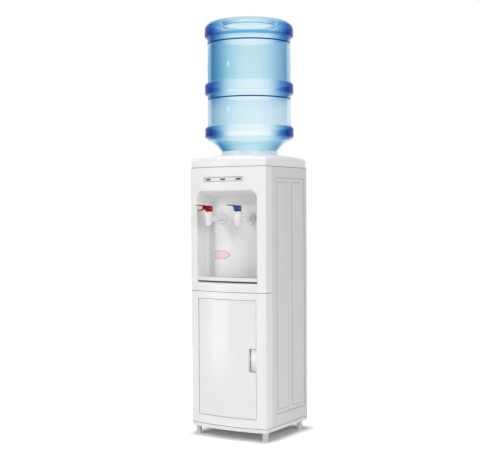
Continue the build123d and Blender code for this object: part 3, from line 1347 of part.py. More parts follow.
def lever_outline(reach):
    """Side outline of a lever as (distance ahead of the stem, height)."""
    top = LEVER_Z + LEVER_HEIGHT
    half = LEVER_LENGTH / 2
    tip = top + PADDLE_RISE
    return [
        (-half, LEVER_Z),
        (LEVER_TOE, LEVER_Z),
        (LEVER_CHIN, top - PADDLE_THICKNESS - LEVER_CHIN_DROP),
        (LEVER_THROAT, top - PADDLE_THICKNESS),
        (reach, tip - PADDLE_TIP_THICKNESS),
        (reach, tip),
        (half, top),
        (-half, top - LEVER_BACK_DROP),
    ]


def lever(x, reach):
    """Tap lever: a block over the bonnet that forks round the stem eye, and a flared thumb paddle."""
    edges = [(0, LEVER_HEEL_EDGE), (3, LEVER_THROAT_EDGE), (6, LEVER_TOP_EDGE), (7, LEVER_TOP_EDGE)]
    outline = rounded(lever_outline(reach), edges)
    # the outline's first axis points forward, so it is laid along -Y
    side = Plane(origin=(x, TAP_Y, 0), x_dir=(0, -1, 0), z_dir=(-1, 0, 0))
    body = extrude(side * outline, amount=PADDLE_TIP_WIDTH / 2, both=True)
    half, tip = LEVER_WIDTH / 2, PADDLE_TIP_WIDTH / 2
    start = LEVER_LENGTH / 2
    heel = [(-half, -start), (half, -start), (half, start)]
    paddle = [(tip, reach), (-tip, reach), (-half, start)]
    plan = rounded(heel + paddle, [(3, PADDLE_CORNER), (4, PADDLE_CORNER)])
    level = Plane(origin=(x, TAP_Y, LEVER_Z - WALL), x_dir=(-1, 0, 0), z_dir=(0, 0, 1))
    body &= extrude(level * plan, amount=2 * LEVER_HEIGHT, dir=(0, 0, 1))
    slot_top = PIVOT_Z + STEM_EYE + FIT
    fork = LEVER_SLOT / 2
    body -= block(x - fork, x + fork, TAP_Y - SLOT_REACH, TAP_Y + SLOT_REACH, LEVER_Z - WALL, slot_top)
    body -= rod((x - LEVER_WIDTH, TAP_Y, PIVOT_Z), (1, 0, 0), LEVER_PIN + PRESS_FIT, 2 * LEVER_WIDTH)
    return body


def lever_pin(x):
    """Cross pin through the lever and the stem eye."""
    half = LEVER_WIDTH / 2 - FIT
    return rod((x - half, TAP_Y, PIVOT_Z), (1, 0, 0), LEVER_PIN, 2 * half)


def catch_pivot():
    """Y and Z of the safety catch pivot under the hot lever."""
    return TAP_Y - CATCH_PIVOT_REACH, LEVER_Z + LEVER_HEIGHT - CATCH_PIVOT_DROP


def hot_lever():
    """Hot tap lever with two ears under its paddle for the safety catch."""
    body = lever(-TAP_X, HOT_LEVER_REACH)
    y, z = catch_pivot()
    inner = CATCH_LEVER_WIDTH / 2 + EAR_GAP
    top = LEVER_Z + LEVER_HEIGHT - PADDLE_THICKNESS / 2
    for side in (-1, 1):
        start = -TAP_X + side * inner
        ear = rod((start, y, z), (side, 0, 0), EAR_RADIUS, EAR_THICKNESS)
        ear += block(start, start + side * EAR_THICKNESS, y - EAR_RADIUS, y + EAR_RADIUS, z, top)
        body += ear
    return body - rod((-TAP_X - LEVER_WIDTH, y, z), (1, 0, 0), CATCH_PIN + CATCH_PIN_FIT, 2 * LEVER_WIDTH)


def hot_safety_catch():
    """Spring catch under the hot paddle: a prong on trunnions."""
    y, z = catch_pivot()
    half = CATCH_LEVER_WIDTH / 2
    reach = HOT_LEVER_REACH - CATCH_PIVOT_REACH - CATCH_TIP_INSET
    tip_z = LEVER_Z + LEVER_HEIGHT - CATCH_TIP_DROP
    thick = CATCH_LEVER_THICKNESS
    knee_z = tip_z + CATCH_KNEE_RISE
    points = [
        (0, z - thick / 2),
        (CATCH_KNEE_REACH, knee_z),
        (reach, tip_z),
        (reach, tip_z + thick),
        (CATCH_KNEE_REACH, knee_z + thick),
        (0, z + thick / 2),
    ]
    side = Plane(origin=(-TAP_X, y, 0), x_dir=(0, -1, 0), z_dir=(-1, 0, 0))
    outline = rounded(points, [(1, CATCH_KNEE_BLEND), (4, CATCH_KNEE_BLEND)])
    prong = extrude(side * outline, amount=half, both=True)
    prong += rod((-TAP_X - half, y, z), (1, 0, 0), CATCH_BOSS, 2 * half)
    reach_x = half + EAR_GAP + EAR_THICKNESS
    return prong + rod((-TAP_X - reach_x, y, z), (1, 0, 0), CATCH_PIN, 2 * reach_x)


def tap_washers():
    """Soft washers behind the alcove wall."""
    y = WALL_Y + WALL
    rings = []
    for x in (-TAP_X, TAP_X):
        ring = rod((x, y, TAP_Z), (0, 1, 0), NUT_RADIUS, WASHER_THICKNESS)
        rings.append(ring - rod((x, y - WALL, TAP_Z), (0, 1, 0), SHANK_RADIUS + FIT, 3 * WALL))
    return Compound(children=rings)


def tap_nuts():
    """Hexagon nuts that clamp the tap shanks to the alcove wall."""
    y = WALL_Y + WALL + WASHER_THICKNESS
    nuts = []
    for x in (-TAP_X, TAP_X):
        place = Plane(origin=(x, y, TAP_Z), x_dir=(1, 0, 0), z_dir=(0, 1, 0))
        nut = extrude(place * RegularPolygon(NUT_RADIUS, 6), amount=NUT_THICKNESS)
        bore = rod((x, y - WALL, TAP_Z), (0, 1, 0), SHANK_RADIUS + HOSE_FIT, NUT_THICKNESS + 2 * WALL)
        nuts.append(nut - bore)
    return Compound(children=nuts)


def build_nodes():
    """Every piece of the dispenser by its node name."""
    nodes = {"feet": feet(), "base_plate": base_plate()}
    nodes["side_panel_left"] = side_panel(-1)
    nodes["side_panel_right"] = side_panel(1)
    nodes["back_panel"] = back_panel()
    nodes["upper_front_panel"] = upper_front_panel()
    nodes["tap_alcove"] = tap_alcove()
    nodes["indicator_window"] = indicator_window()
    nodes["indicator_lamps"] = indicator_lamps()
    nodes["indicator_board"] = indicator_board()
    nodes["drip_tray"] = drip_tray()
    nodes["drip_grille"] = drip_grille()
    nodes["lower_front_frame"] = lower_front_frame()
    nodes["door"] = door()
    nodes["door_hinge_pins"] = door_hinge_pins()
    nodes["door_strike"] = door_strike()
    nodes["door_catch"] = door_catch()
    nodes["cabinet_liner"] = cabinet_liner()
    nodes["top_cover"] = top_cover()
    nodes["bottle_collar"] = bottle_collar()
    nodes["bottle"] = bottle()
    nodes["cold_tank"] = cold_tank()
    nodes["cold_tank_lid"] = cold_tank_lid()
    nodes["cold_tank_jacket"] = cold_tank_jacket()
    nodes["cold_tank_shelf"] = cold_tank_shelf()
    nodes["cold_block"] = cold_block()
    nodes["cooling_module"] = cooling_module()
    nodes["heat_sink"] = heat_sink()
    nodes["fan_frame"] = fan_frame()
    nodes["fan_rotor"] = fan_rotor()
    nodes["service_deck"] = service_deck()
    nodes["hot_tank"] = hot_tank()
    nodes["hot_tank_jacket"] = hot_tank_jacket()
    nodes["heater_band"] = heater_band()
    nodes["thermostats"] = thermostats()
    nodes["drain_pipe"] = drain_pipe()
    nodes["drain_cap"] = drain_cap()
    nodes["cold_hose"] = cold_hose()
    nodes["hot_hose"] = hot_hose()
    nodes["feed_hose"] = feed_hose()
    nodes["power_board"] = power_board()
    nodes["power_inlet"] = power_inlet()
    nodes["switch_housings"] = switch_housings()
    heat_x, cool_x = switch_places()
    nodes["heat_switch"] = rocker(heat_x)
    nodes["cool_switch"] = rocker(cool_x)
    for name, x in (("cold", TAP_X), ("hot", -TAP_X)):
        nodes[name + "_tap_body"] = tap_body(x)
        nodes[name + "_tap_stem"] = tap_stem(x)
        nodes[name + "_tap_seal"] = tap_seal(x)
        nodes[name + "_lever_pin"] = lever_pin(x)
    nodes["cold_lever"] = lever(TAP_X, COLD_LEVER_REACH)
    nodes["hot_lever"] = hot_lever()
    nodes["hot_safety_catch"] = hot_safety_catch()
    nodes["tap_washers"] = tap_washers()
    nodes["tap_nuts"] = tap_nuts()
    return nodes


os.makedirs("parts", exist_ok=True)
for node_name, shape in build_nodes().items():
    export_step(shape, f"parts/{node_name}.step")
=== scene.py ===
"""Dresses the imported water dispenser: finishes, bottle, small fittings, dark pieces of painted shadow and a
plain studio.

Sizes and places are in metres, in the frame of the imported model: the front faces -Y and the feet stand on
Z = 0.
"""

from __future__ import annotations

import json
import logging
import math
from dataclasses import dataclass, field
from enum import Enum
from typing import Any, ClassVar

import bmesh
import bpy
from mathutils import Matrix, Vector

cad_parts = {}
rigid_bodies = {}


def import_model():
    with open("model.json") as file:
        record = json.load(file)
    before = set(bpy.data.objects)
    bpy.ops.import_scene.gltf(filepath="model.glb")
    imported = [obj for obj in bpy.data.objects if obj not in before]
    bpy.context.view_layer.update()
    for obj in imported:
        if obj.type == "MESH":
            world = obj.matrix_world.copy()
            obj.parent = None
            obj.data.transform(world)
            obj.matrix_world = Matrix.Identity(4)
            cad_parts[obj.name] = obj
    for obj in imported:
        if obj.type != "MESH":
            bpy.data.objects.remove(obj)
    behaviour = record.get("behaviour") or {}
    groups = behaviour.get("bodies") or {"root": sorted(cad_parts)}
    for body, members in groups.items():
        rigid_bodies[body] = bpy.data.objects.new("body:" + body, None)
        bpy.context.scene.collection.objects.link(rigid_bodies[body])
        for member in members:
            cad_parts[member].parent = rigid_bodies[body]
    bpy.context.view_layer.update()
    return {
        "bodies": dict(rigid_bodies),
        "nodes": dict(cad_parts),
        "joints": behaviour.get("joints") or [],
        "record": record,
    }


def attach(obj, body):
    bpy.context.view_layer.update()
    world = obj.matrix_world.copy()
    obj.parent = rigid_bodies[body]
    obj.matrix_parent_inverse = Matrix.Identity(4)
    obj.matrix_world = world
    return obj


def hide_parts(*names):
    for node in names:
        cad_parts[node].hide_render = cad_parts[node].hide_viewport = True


LOG = logging.getLogger("dispenser")
IMAGE_WIDTH = 480
ORIGIN = (0.0, 0.0, 0.0)
WHITE = (1.0, 1.0, 1.0)
NO_LIMIT = 1.0  # half size along an axis on which a box sets no limit
NOISE_MIDDLE = (0.3, 0.7)  # values between which most of a noise texture lies
SMUDGE_EDGE = (0.5, 0.68)  # values of the noise between which a smudge comes in
AXIS_REACH = 1e-6  # a ring of a turned form that is smaller than this is one point
COLOUR_SOCKET = "NodeSocketColor"
VALUE_SOCKET = "NodeSocketFloat"
NUMBER_RESULTS = ("LENGTH", "DOT_PRODUCT")  # vector operations that give a number

Colour = tuple[float, float, float]
Point = tuple[float, float, float]
Pair = tuple[float, float]
Profile = list[Pair]
Stops = tuple[tuple[float, Colour], ...]
Node = bpy.types.Node
Socket = bpy.types.NodeSocket


class Body(str, Enum):
    """Bodies of the dispenser that carry added pieces."""

    CABINET = "cabinet"
    DOOR = "door"
    BOTTLE = "bottle"
    TRAY = "drip_tray"


class Slot(str, Enum):
    """Record slots; the added pieces do not read them and take their finishes from Finishes."""

    SHELL = "shell_white"
    BOTTLE = "bottle_blue"
    RED = "hot_red"
    STEEL = "steel"
    BLACK = "black_plastic"


class SkinGroup(str, Enum):
    """Shared surface effects, each one shader node group."""

    MOULDED = "moulded_skin"
    BRUSHED = "brushed_grain"
    HANDLED = "handling_marks"
    FOAMED = "foam_cells"


class NodeSheet:
    """Places and joins the nodes of one node tree."""

    def __init__(self, tree: bpy.types.NodeTree) -> None:
        """Starts with an empty tree.

        Args:
            tree: The node tree to fill.
        """
        self.tree = tree
        tree.nodes.clear()

    def add(self, kind: str, place: Pair, **values: Any) -> Node:
        """Adds a node.

        Args:
            kind: Blender's name of the node type.
            place: Where the node sits in the editor.
            **values: Node properties to set.

        Returns:
            The new node.
        """
        node = self.tree.nodes.new(kind)
        node.location = place
        for name, value in values.items():
            setattr(node, name, value)
        return node

    def feed(self, target: Socket, value: Any) -> None:
        """Feeds one input.

        Args:
            target: Input to feed.
            value: Output socket to join to it, or a plain value to set.
        """
        if isinstance(value, Socket):
            self.tree.links.new(value, target)
        else:
            target.default_value = value

    def wire(self, node: Node, values: dict[str, Any]) -> Node:
        """Feeds inputs of a node by name.

        Args:
            node: Node to feed.
            values: Output sockets or plain values by input name.

        Returns:
            The same node.
        """
        for name, value in values.items():
            self.feed(node.inputs[name], value)
        return node

    def fill_in(self, node: Node, values: tuple[Any, ...]) -> None:
        """Feeds the first inputs of a node, in order."""
        for target, value in zip(node.inputs, values):
            self.feed(target, value)

    def number(self, operation: str, place: Pair, *values: Any) -> Socket:
        """Adds an operation on numbers.

        Args:
            operation: Blender's name of the operation.
            place: Where the node sits in the editor.
            *values: Output sockets or plain numbers.

        Returns:
            Socket of the result.
        """
        node = self.add("ShaderNodeMath", place, operation=operation)
        self.fill_in(node, values)
        return node.outputs["Value"]

    def vector(self, operation: str, place: Pair, *values: Any) -> Socket:
        """Adds an operation on vectors.

        Args:
            operation: Blender's name of the operation.
            place: Where the node sits in the editor.
            *values: Output sockets or plain vectors.

        Returns:
            Socket of the result.
        """
        node = self.add("ShaderNodeVectorMath", place, operation=operation)
        self.fill_in(node, values)
        return node.outputs["Value" if operation in NUMBER_RESULTS else "Vector"]

    def mix(self, place: Pair, factor: Socket, first: Any, second: Any, blend: str = "MIX") -> Socket:
        """Adds a mix of two colours.

        Args:
            place: Where the node sits in the editor.
            factor: Socket of the share of the second colour.
            first: Socket or value of the first colour.
            second: Socket or value of the second colour.
            blend: Blender's name of the way they mix.

        Returns:
            Socket of the mixed colour.
        """
        node = self.add("ShaderNodeMix", place, data_type="RGBA", blend_type=blend)
        return self.wire(node, {"Factor": factor, "A": first, "B": second}).outputs["Result"]

    def choose(self, place: Pair, factor: Socket, first: Socket, second: Socket) -> Socket:
        """Adds a mix of two shaders.

        Args:
            place: Where the node sits in the editor.
            factor: Socket of the share of the second shader.
            first: Socket of the first shader.
            second: Socket of the second shader.

        Returns:
            Socket of the mixed shader.
        """
        node = self.add("ShaderNodeMixShader", place)
        self.fill_in(node, (factor, first, second))
        return node.outputs["Shader"]

    def spread(
        self,
        value: Socket,
        place: Pair,
        given: Pair,
        result: tuple[Any, Any] = (0.0, 1.0),
        soft: bool = False,
    ) -> Socket:
        """Maps one range of values to another, and holds its ends.

        Args:
            value: Socket to read.
            place: Where the node sits in the editor.
            given: Values at the ends of the range that is read.
            result: Output sockets or plain values at the ends of the range that comes out.
            soft: Whether the change eases in and out.

        Returns:
            Socket of the mapped value.
        """
        kind = "SMOOTHSTEP" if soft else "LINEAR"
        node = self.add("ShaderNodeMapRange", place, clamp=True, interpolation_type=kind)
        ends = dict(zip(("From Min", "From Max", "To Min", "To Max"), (*given, *result)))
        return self.wire(node, {"Value": value, **ends}).outputs["Result"]

    def split(self, vector: Socket, place: Pair) -> bpy.types.NodeOutputs:
        """Splits a vector into the outputs X, Y and Z."""
        return self.wire(self.add("ShaderNodeSeparateXYZ", place), {"Vector": vector}).outputs

    def coordinates(self, place: Pair) -> Socket:
        """Adds the dispenser's own coordinates."""
        return self.add("ShaderNodeTexCoord", place).outputs["Object"]

    def beyond(self, centre: Point, half: Point, place: Pair) -> Socket:
        """Adds how far the surface lies outside a box, along each axis.

        Args:
            centre: Middle of the box.
            half: Half sizes of the box.
            place: Where the last node sits in the editor.

        Returns:
            Socket of the three distances, which are below 0 inside the box.
        """
        x, y = place
        centred = self.vector("SUBTRACT", (x - 400, y), self.coordinates((x - 600, y)), centre)
        return self.vector("SUBTRACT", place, self.vector("ABSOLUTE", (x - 200, y), centred), half)


class SurfaceGroups:
    """Builds each shared surface effect once and hands it out by name."""

    def __init__(self) -> None:
        """Starts with no group built."""
        self.built: dict[SkinGroup, bpy.types.NodeTree] = {}

    def get(self, name: SkinGroup) -> bpy.types.NodeTree:
        """Gives a group, building it on first use.

        Args:
            name: Which effect is wanted.

        Returns:
            The shader node group.
        """
        if name not in self.built:
            makers = {
                SkinGroup.MOULDED: self._moulded,
                SkinGroup.BRUSHED: self._brushed,
                SkinGroup.HANDLED: self._handled,
                SkinGroup.FOAMED: self._foamed,
            }
            self.built[name] = makers[name]()
        return self.built[name]

    @staticmethod
    def _start(
        name: SkinGroup, inputs: dict[str, str], outputs: dict[str, str]
    ) -> tuple[NodeSheet, bpy.types.NodeOutputs, Node]:
        """Makes an empty group with its sockets.

        Args:
            name: Name of the effect.
            inputs: Types of the sockets that go in, by name.
            outputs: Types of the sockets that come out, by name.

        Returns:
            The sheet of the group, the values that go in, and the node that takes the results.
        """
        tree = bpy.data.node_groups.new(name.value, "ShaderNodeTree")
        for side, sockets in (("INPUT", inputs), ("OUTPUT", outputs)):
            for label, kind in sockets.items():
                tree.interface.new_socket(name=label, in_out=side, socket_type=kind)
        sheet = NodeSheet(tree)
        given = sheet.add("NodeGroupInput", (-900, 0)).outputs
        return sheet, given, sheet.add("NodeGroupOutput", (700, 0))

    @staticmethod
    def _noise(sheet: NodeSheet, place: Pair, scale: Any, detail: float, roughness: float) -> Socket:
        """Adds a noise texture read in the dispenser's own coordinates.

        Args:
            sheet: Sheet to add to.
            place: Where the node sits in the editor.
            scale: Socket or value of the scale.
            detail: Octaves of detail.
            roughness: Strength of the finer octaves.

        Returns:
            Socket of the noise.
        """
        values = {
            "Vector": sheet.coordinates((place[0] - 200, place[1])),
            "Scale": scale,
            "Detail": detail,
            "Roughness": roughness,
        }
        return sheet.wire(sheet.add("ShaderNodeTexNoise", place), values).outputs["Fac"]

    def _moulded(self) -> bpy.types.NodeTree:
        """Makes a slow drift of tone, a fine moulded grain and a matching roughness.

        Returns:
            The shader node group.
        """
        sheet, given, result = self._start(
            SkinGroup.MOULDED,
            {
                "Tone": COLOUR_SOCKET,
                "Shade": COLOUR_SOCKET,
                "Grain Scale": VALUE_SOCKET,
                "Smooth": VALUE_SOCKET,
                "Rough": VALUE_SOCKET,
            },
            {"Color": COLOUR_SOCKET, "Roughness": VALUE_SOCKET, "Height": VALUE_SOCKET},
        )
        drift = self._noise(sheet, (-500, 250), scale=7.0, detail=3.0, roughness=0.55)
        share = sheet.spread(drift, (-300, 250), NOISE_MIDDLE)
        grain = self._noise(sheet, (-500, -100), given["Grain Scale"], detail=2.0, roughness=0.6)
        sheen = sheet.spread(grain, (0, -100), (0.0, 1.0), (given["Smooth"], given["Rough"]))
        colour = sheet.mix((0, 250), share, given["Shade"], given["Tone"])
        sheet.wire(result, {"Color": colour, "Roughness": sheen, "Height": grain})
        return sheet.tree

    def _brushed(self) -> bpy.types.NodeTree:
        """Makes fine streaks drawn along Z, as on rolled or brushed metal.

        Returns:
            The shader node group.
        """
        sheet, given, result = self._start(
            SkinGroup.BRUSHED,
            {"Tone": COLOUR_SOCKET, "Shade": COLOUR_SOCKET, "Smooth": VALUE_SOCKET, "Rough": VALUE_SOCKET},
            {"Color": COLOUR_SOCKET, "Roughness": VALUE_SOCKET, "Height": VALUE_SOCKET},
        )
        stretch = sheet.add("ShaderNodeMapping", (-700, 250))
        sheet.wire(stretch, {"Vector": sheet.coordinates((-900, 250)), "Scale": (900.0, 900.0, 12.0)})
        noise = sheet.add("ShaderNodeTexNoise", (-500, 250))
        sheet.wire(noise, {"Vector": stretch.outputs["Vector"], "Scale": 1.0, "Detail": 3.0})
        streak = noise.outputs["Fac"]
        share = sheet.spread(streak, (-300, 250), NOISE_MIDDLE)
        sheen = sheet.spread(share, (0, -100), (0.0, 1.0), (given["Rough"], given["Smooth"]))
        colour = sheet.mix((0, 250), share, given["Shade"], given["Tone"])
        sheet.wire(result, {"Color": colour, "Roughness": sheen, "Height": streak})
        return sheet.tree

    def _handled(self) -> bpy.types.NodeTree:
        """Makes soft smudges where hands polish or dull a surface.

        Returns:
            The shader node group.
        """
        sheet, given, result = self._start(
            SkinGroup.HANDLED,
            {"Roughness": VALUE_SOCKET, "Dulling": VALUE_SOCKET, "Scale": VALUE_SOCKET},
            {"Roughness": VALUE_SOCKET, "Mask": VALUE_SOCKET},
        )
        smudge = self._noise(sheet, (-500, 100), given["Scale"], detail=5.0, roughness=0.65)
        mask = sheet.spread(smudge, (-250, 100), SMUDGE_EDGE, soft=True)
        dull = sheet.number("MULTIPLY_ADD", (0, 100), mask, given["Dulling"], given["Roughness"])
        sheet.wire(result, {"Roughness": dull, "Mask": mask})
        return sheet.tree

    def _foamed(self) -> bpy.types.NodeTree:
        """Makes the round cells of a foamed or cast surface.

        Returns:
            The shader node group.
        """
        sheet, given, result = self._start(
            SkinGroup.FOAMED,
            {"Tone": COLOUR_SOCKET, "Shade": COLOUR_SOCKET, "Scale": VALUE_SOCKET},
            {"Color": COLOUR_SOCKET, "Height": VALUE_SOCKET},
        )
        cells = sheet.add("ShaderNodeTexVoronoi", (-500, 100))
        sheet.wire(cells, {"Vector": sheet.coordinates((-700, 100)), "Scale": given["Scale"]})
        distance = cells.outputs["Distance"]
        colour = sheet.mix((0, 150), distance, given["Shade"], given["Tone"])
        sheet.wire(result, {"Color": colour, "Height": distance})
        return sheet.tree


GROUPS = SurfaceGroups()


def rgba(colour: Colour) -> tuple[float, float, float, float]:
    """Colour with full alpha."""
    return (*colour, 1.0)


@dataclass(frozen=True)
class Finish:
    """One surface finish, made into a material on first use.

    The tone drifts to a darker share of itself, and the roughness runs between the smooth and the rough
    value.
    """

    name: str
    tone: Colour
    smooth: float = 0.3
    rough: float = 0.4
    drift: float = 0.975
    grain: float = 1400.0
    relief: float = 0.00004
    relief_share: float = 0.6
    made: ClassVar[dict[str, bpy.types.Material]] = {}

    def material(self) -> bpy.types.Material:
        """Gives the finish's material, building it once.

        Returns:
            The material.
        """
        if self.name not in self.made:
            material = bpy.data.materials.new(self.name)
            material.use_nodes = True
            material.diffuse_color = rgba(self.tone)
            sheet = NodeSheet(material.node_tree)
            shader = sheet.add("ShaderNodeBsdfPrincipled", (300, 0))
            output = sheet.add("ShaderNodeOutputMaterial", (700, 0))
            sheet.feed(output.inputs["Surface"], shader.outputs["BSDF"])
            self.fill(sheet, shader, output)
            self.made[self.name] = material
        return self.made[self.name]

    def fill(self, sheet: NodeSheet, shader: Node, output: Node) -> None:
        """Sets the shader up; each kind of finish has its own way."""
        raise NotImplementedError

    def tones(self) -> dict[str, Any]:
        """Tone and its darker drift, as a shared effect takes them."""
        shade = (self.tone[0] * self.drift, self.tone[1] * self.drift, self.tone[2] * self.drift)
        return {"Tone": rgba(self.tone), "Shade": rgba(shade)}

    @staticmethod
    def group(
        sheet: NodeSheet, name: SkinGroup, place: Pair, values: dict[str, Any]
    ) -> bpy.types.NodeOutputs:
        """Places a shared effect with its own values.

        Args:
            sheet: Sheet of the material.
            name: Which effect.
            place: Where the node sits in the editor.
            values: Output sockets or plain values by socket name.

        Returns:
            The outputs of the effect.
        """
        node = sheet.add("ShaderNodeGroup", place, node_tree=GROUPS.get(name))
        return sheet.wire(node, values).outputs

    def skin(self, sheet: NodeSheet) -> bpy.types.NodeOutputs:
        """Places the moulded skin with the values of this finish.

        Args:
            sheet: Sheet of the material.

        Returns:
            The outputs of the skin.
        """
        values = {**self.tones(), "Grain Scale": self.grain, "Smooth": self.smooth, "Rough": self.rough}
        return self.group(sheet, SkinGroup.MOULDED, (-400, 0), values)

    def bump(self, sheet: NodeSheet, height: Socket, shader: Node) -> None:
        """Feeds a height into the shader's normal.

        Args:
            sheet: Sheet of the material.
            height: Socket that gives the height.
            shader: Principled shader to feed.
        """
        node = sheet.add("ShaderNodeBump", (50, -300))
        sheet.wire(node, {"Distance": self.relief, "Strength": self.relief_share, "Height": height})
        sheet.feed(shader.inputs["Normal"], node.outputs["Normal"])


@dataclass(frozen=True)
class MouldedPlastic(Finish):
    """Injection-moulded plastic with a fine grain and faint handling marks."""

    dulling: float = 0.05
    smudge: float = 18.0
    coat: float = 0.0
    specular: float = 0.5
    refraction: float = 1.48

    def fill(self, sheet: NodeSheet, shader: Node, output: Node) -> None:
        """Joins the moulded skin and the handling marks to the shader.

        Args:
            sheet: Sheet of the material.
            shader: Principled shader of the material.
            output: Output node of the material; not used.
        """
        skin = self.skin(sheet)
        handling = {"Roughness": skin["Roughness"], "Dulling": self.dulling, "Scale": self.smudge}
        marks = self.group(sheet, SkinGroup.HANDLED, (-100, -150), handling)
        sheet.wire(
            shader,
            {
                "Base Color": skin["Color"],
                "Roughness": marks["Roughness"],
                "IOR": self.refraction,
                "Specular IOR Level": self.specular,
                "Coat Weight": self.coat,
            },
        )
        self.bump(sheet, skin["Height"], shader)


@dataclass(frozen=True)
class PaintedSheet(Finish):
    """Powder-painted sheet metal with an orange-peel skin and lines of painted shade along the steps of its
    pressed rectangles.

    Each frame is a pressed rectangle, as the Y and Z of its middle and its half sizes along Y and Z.
    """

    smooth: float = 0.38
    rough: float = 0.52
    drift: float = 0.97
    grain: float = 520.0
    relief: float = 0.00009
    relief_share: float = 0.7
    frames: tuple[tuple[float, float, float, float], ...] = ()
    line_half: float = 0.00112
    # share of the tone left under the lines of painted shade
    step_shade_share: float = 0.6
    line_corner: float = 0.007

    def _line(self, sheet: NodeSheet, frame: tuple[float, float, float, float], level: float) -> Socket:
        """Adds a mask of the line of painted shade along one pressed rectangle.

        Args:
            sheet: Sheet to add to.
            frame: The rectangle.
            level: Height of the nodes in the editor.

        Returns:
            Socket that is 1 on the line.
        """
        y, z, half_y, half_z = frame
        core = (NO_LIMIT, half_y - self.line_corner, half_z - self.line_corner)
        beyond = sheet.beyond((0.0, y, z), core, (-1100, level))
        parts = sheet.split(beyond, (-900, level))
        nearest = sheet.number("MAXIMUM", (-700, level), parts["Y"], parts["Z"])
        inside = sheet.number("MINIMUM", (-600, level), nearest, 0.0)
        corner = sheet.vector("MAXIMUM", (-900, level - 120), beyond, ORIGIN)
        outside = sheet.vector("LENGTH", (-700, level - 120), corner)
        distance = sheet.number("ADD", (-500, level), inside, outside)
        return sheet.number("COMPARE", (-400, level), distance, self.line_corner, self.line_half)

    def fill(self, sheet: NodeSheet, shader: Node, output: Node) -> None:
        """Joins the skin, at the coarser scale of paint, and the lines of painted shade to the shader.

        Args:
            sheet: Sheet of the material.
            shader: Principled shader of the material.
            output: Output node of the material; not used.
        """
        skin = self.skin(sheet)
        colour = skin["Color"]
        # painted shade: darkens the outline of each pressed rectangle, where its step falls in shade
        step_shade = rgba((self.step_shade_share, self.step_shade_share, self.step_shade_share))
        for row, frame in enumerate(self.frames):
            level = -500 - 250 * row
            colour = sheet.mix((-50, level), self._line(sheet, frame, level), colour, step_shade, "MULTIPLY")
        sheet.wire(shader, {"Base Color": colour, "Roughness": skin["Roughness"]})
        self.bump(sheet, skin["Height"], shader)


@dataclass(frozen=True)
class BareMetal(Finish):
    """Brushed or rolled metal."""

    smooth: float = 0.22
    rough: float = 0.42
    drift: float = 0.86
    relief: float = 0.00003
    relief_share: float = 0.5

    def fill(self, sheet: NodeSheet, shader: Node, output: Node) -> None:
        """Joins the brushed grain to the shader.

        Args:
            sheet: Sheet of the material.
            shader: Principled shader of the material.
            output: Output node of the material; not used.
        """
        values = {**self.tones(), "Smooth": self.smooth, "Rough": self.rough}
        grain = self.group(sheet, SkinGroup.BRUSHED, (-400, 0), values)
        sheet.wire(shader, {"Base Color": grain["Color"], "Roughness": grain["Roughness"], "Metallic": 1.0})
        self.bump(sheet, grain["Height"], shader)


@dataclass(frozen=True)
class CellularFinish(Finish):
    """Foam, fired ceramic or soft rubber with a cellular skin of one roughness."""

    drift: float = 0.9
    relief: float = 0.0002
    cells: float = 500.0
    roughness: float = 0.85

    def fill(self, sheet: NodeSheet, shader: Node, output: Node) -> None:
        """Joins the cells to the shader.

        Args:
            sheet: Sheet of the material.
            shader: Principled shader of the material.
            output: Output node of the material; not used.
        """
        cells = self.group(sheet, SkinGroup.FOAMED, (-400, 0), {**self.tones(), "Scale": self.cells})
        sheet.wire(shader, {"Base Color": cells["Color"], "Roughness": self.roughness})
        self.bump(sheet, cells["Height"], shader)


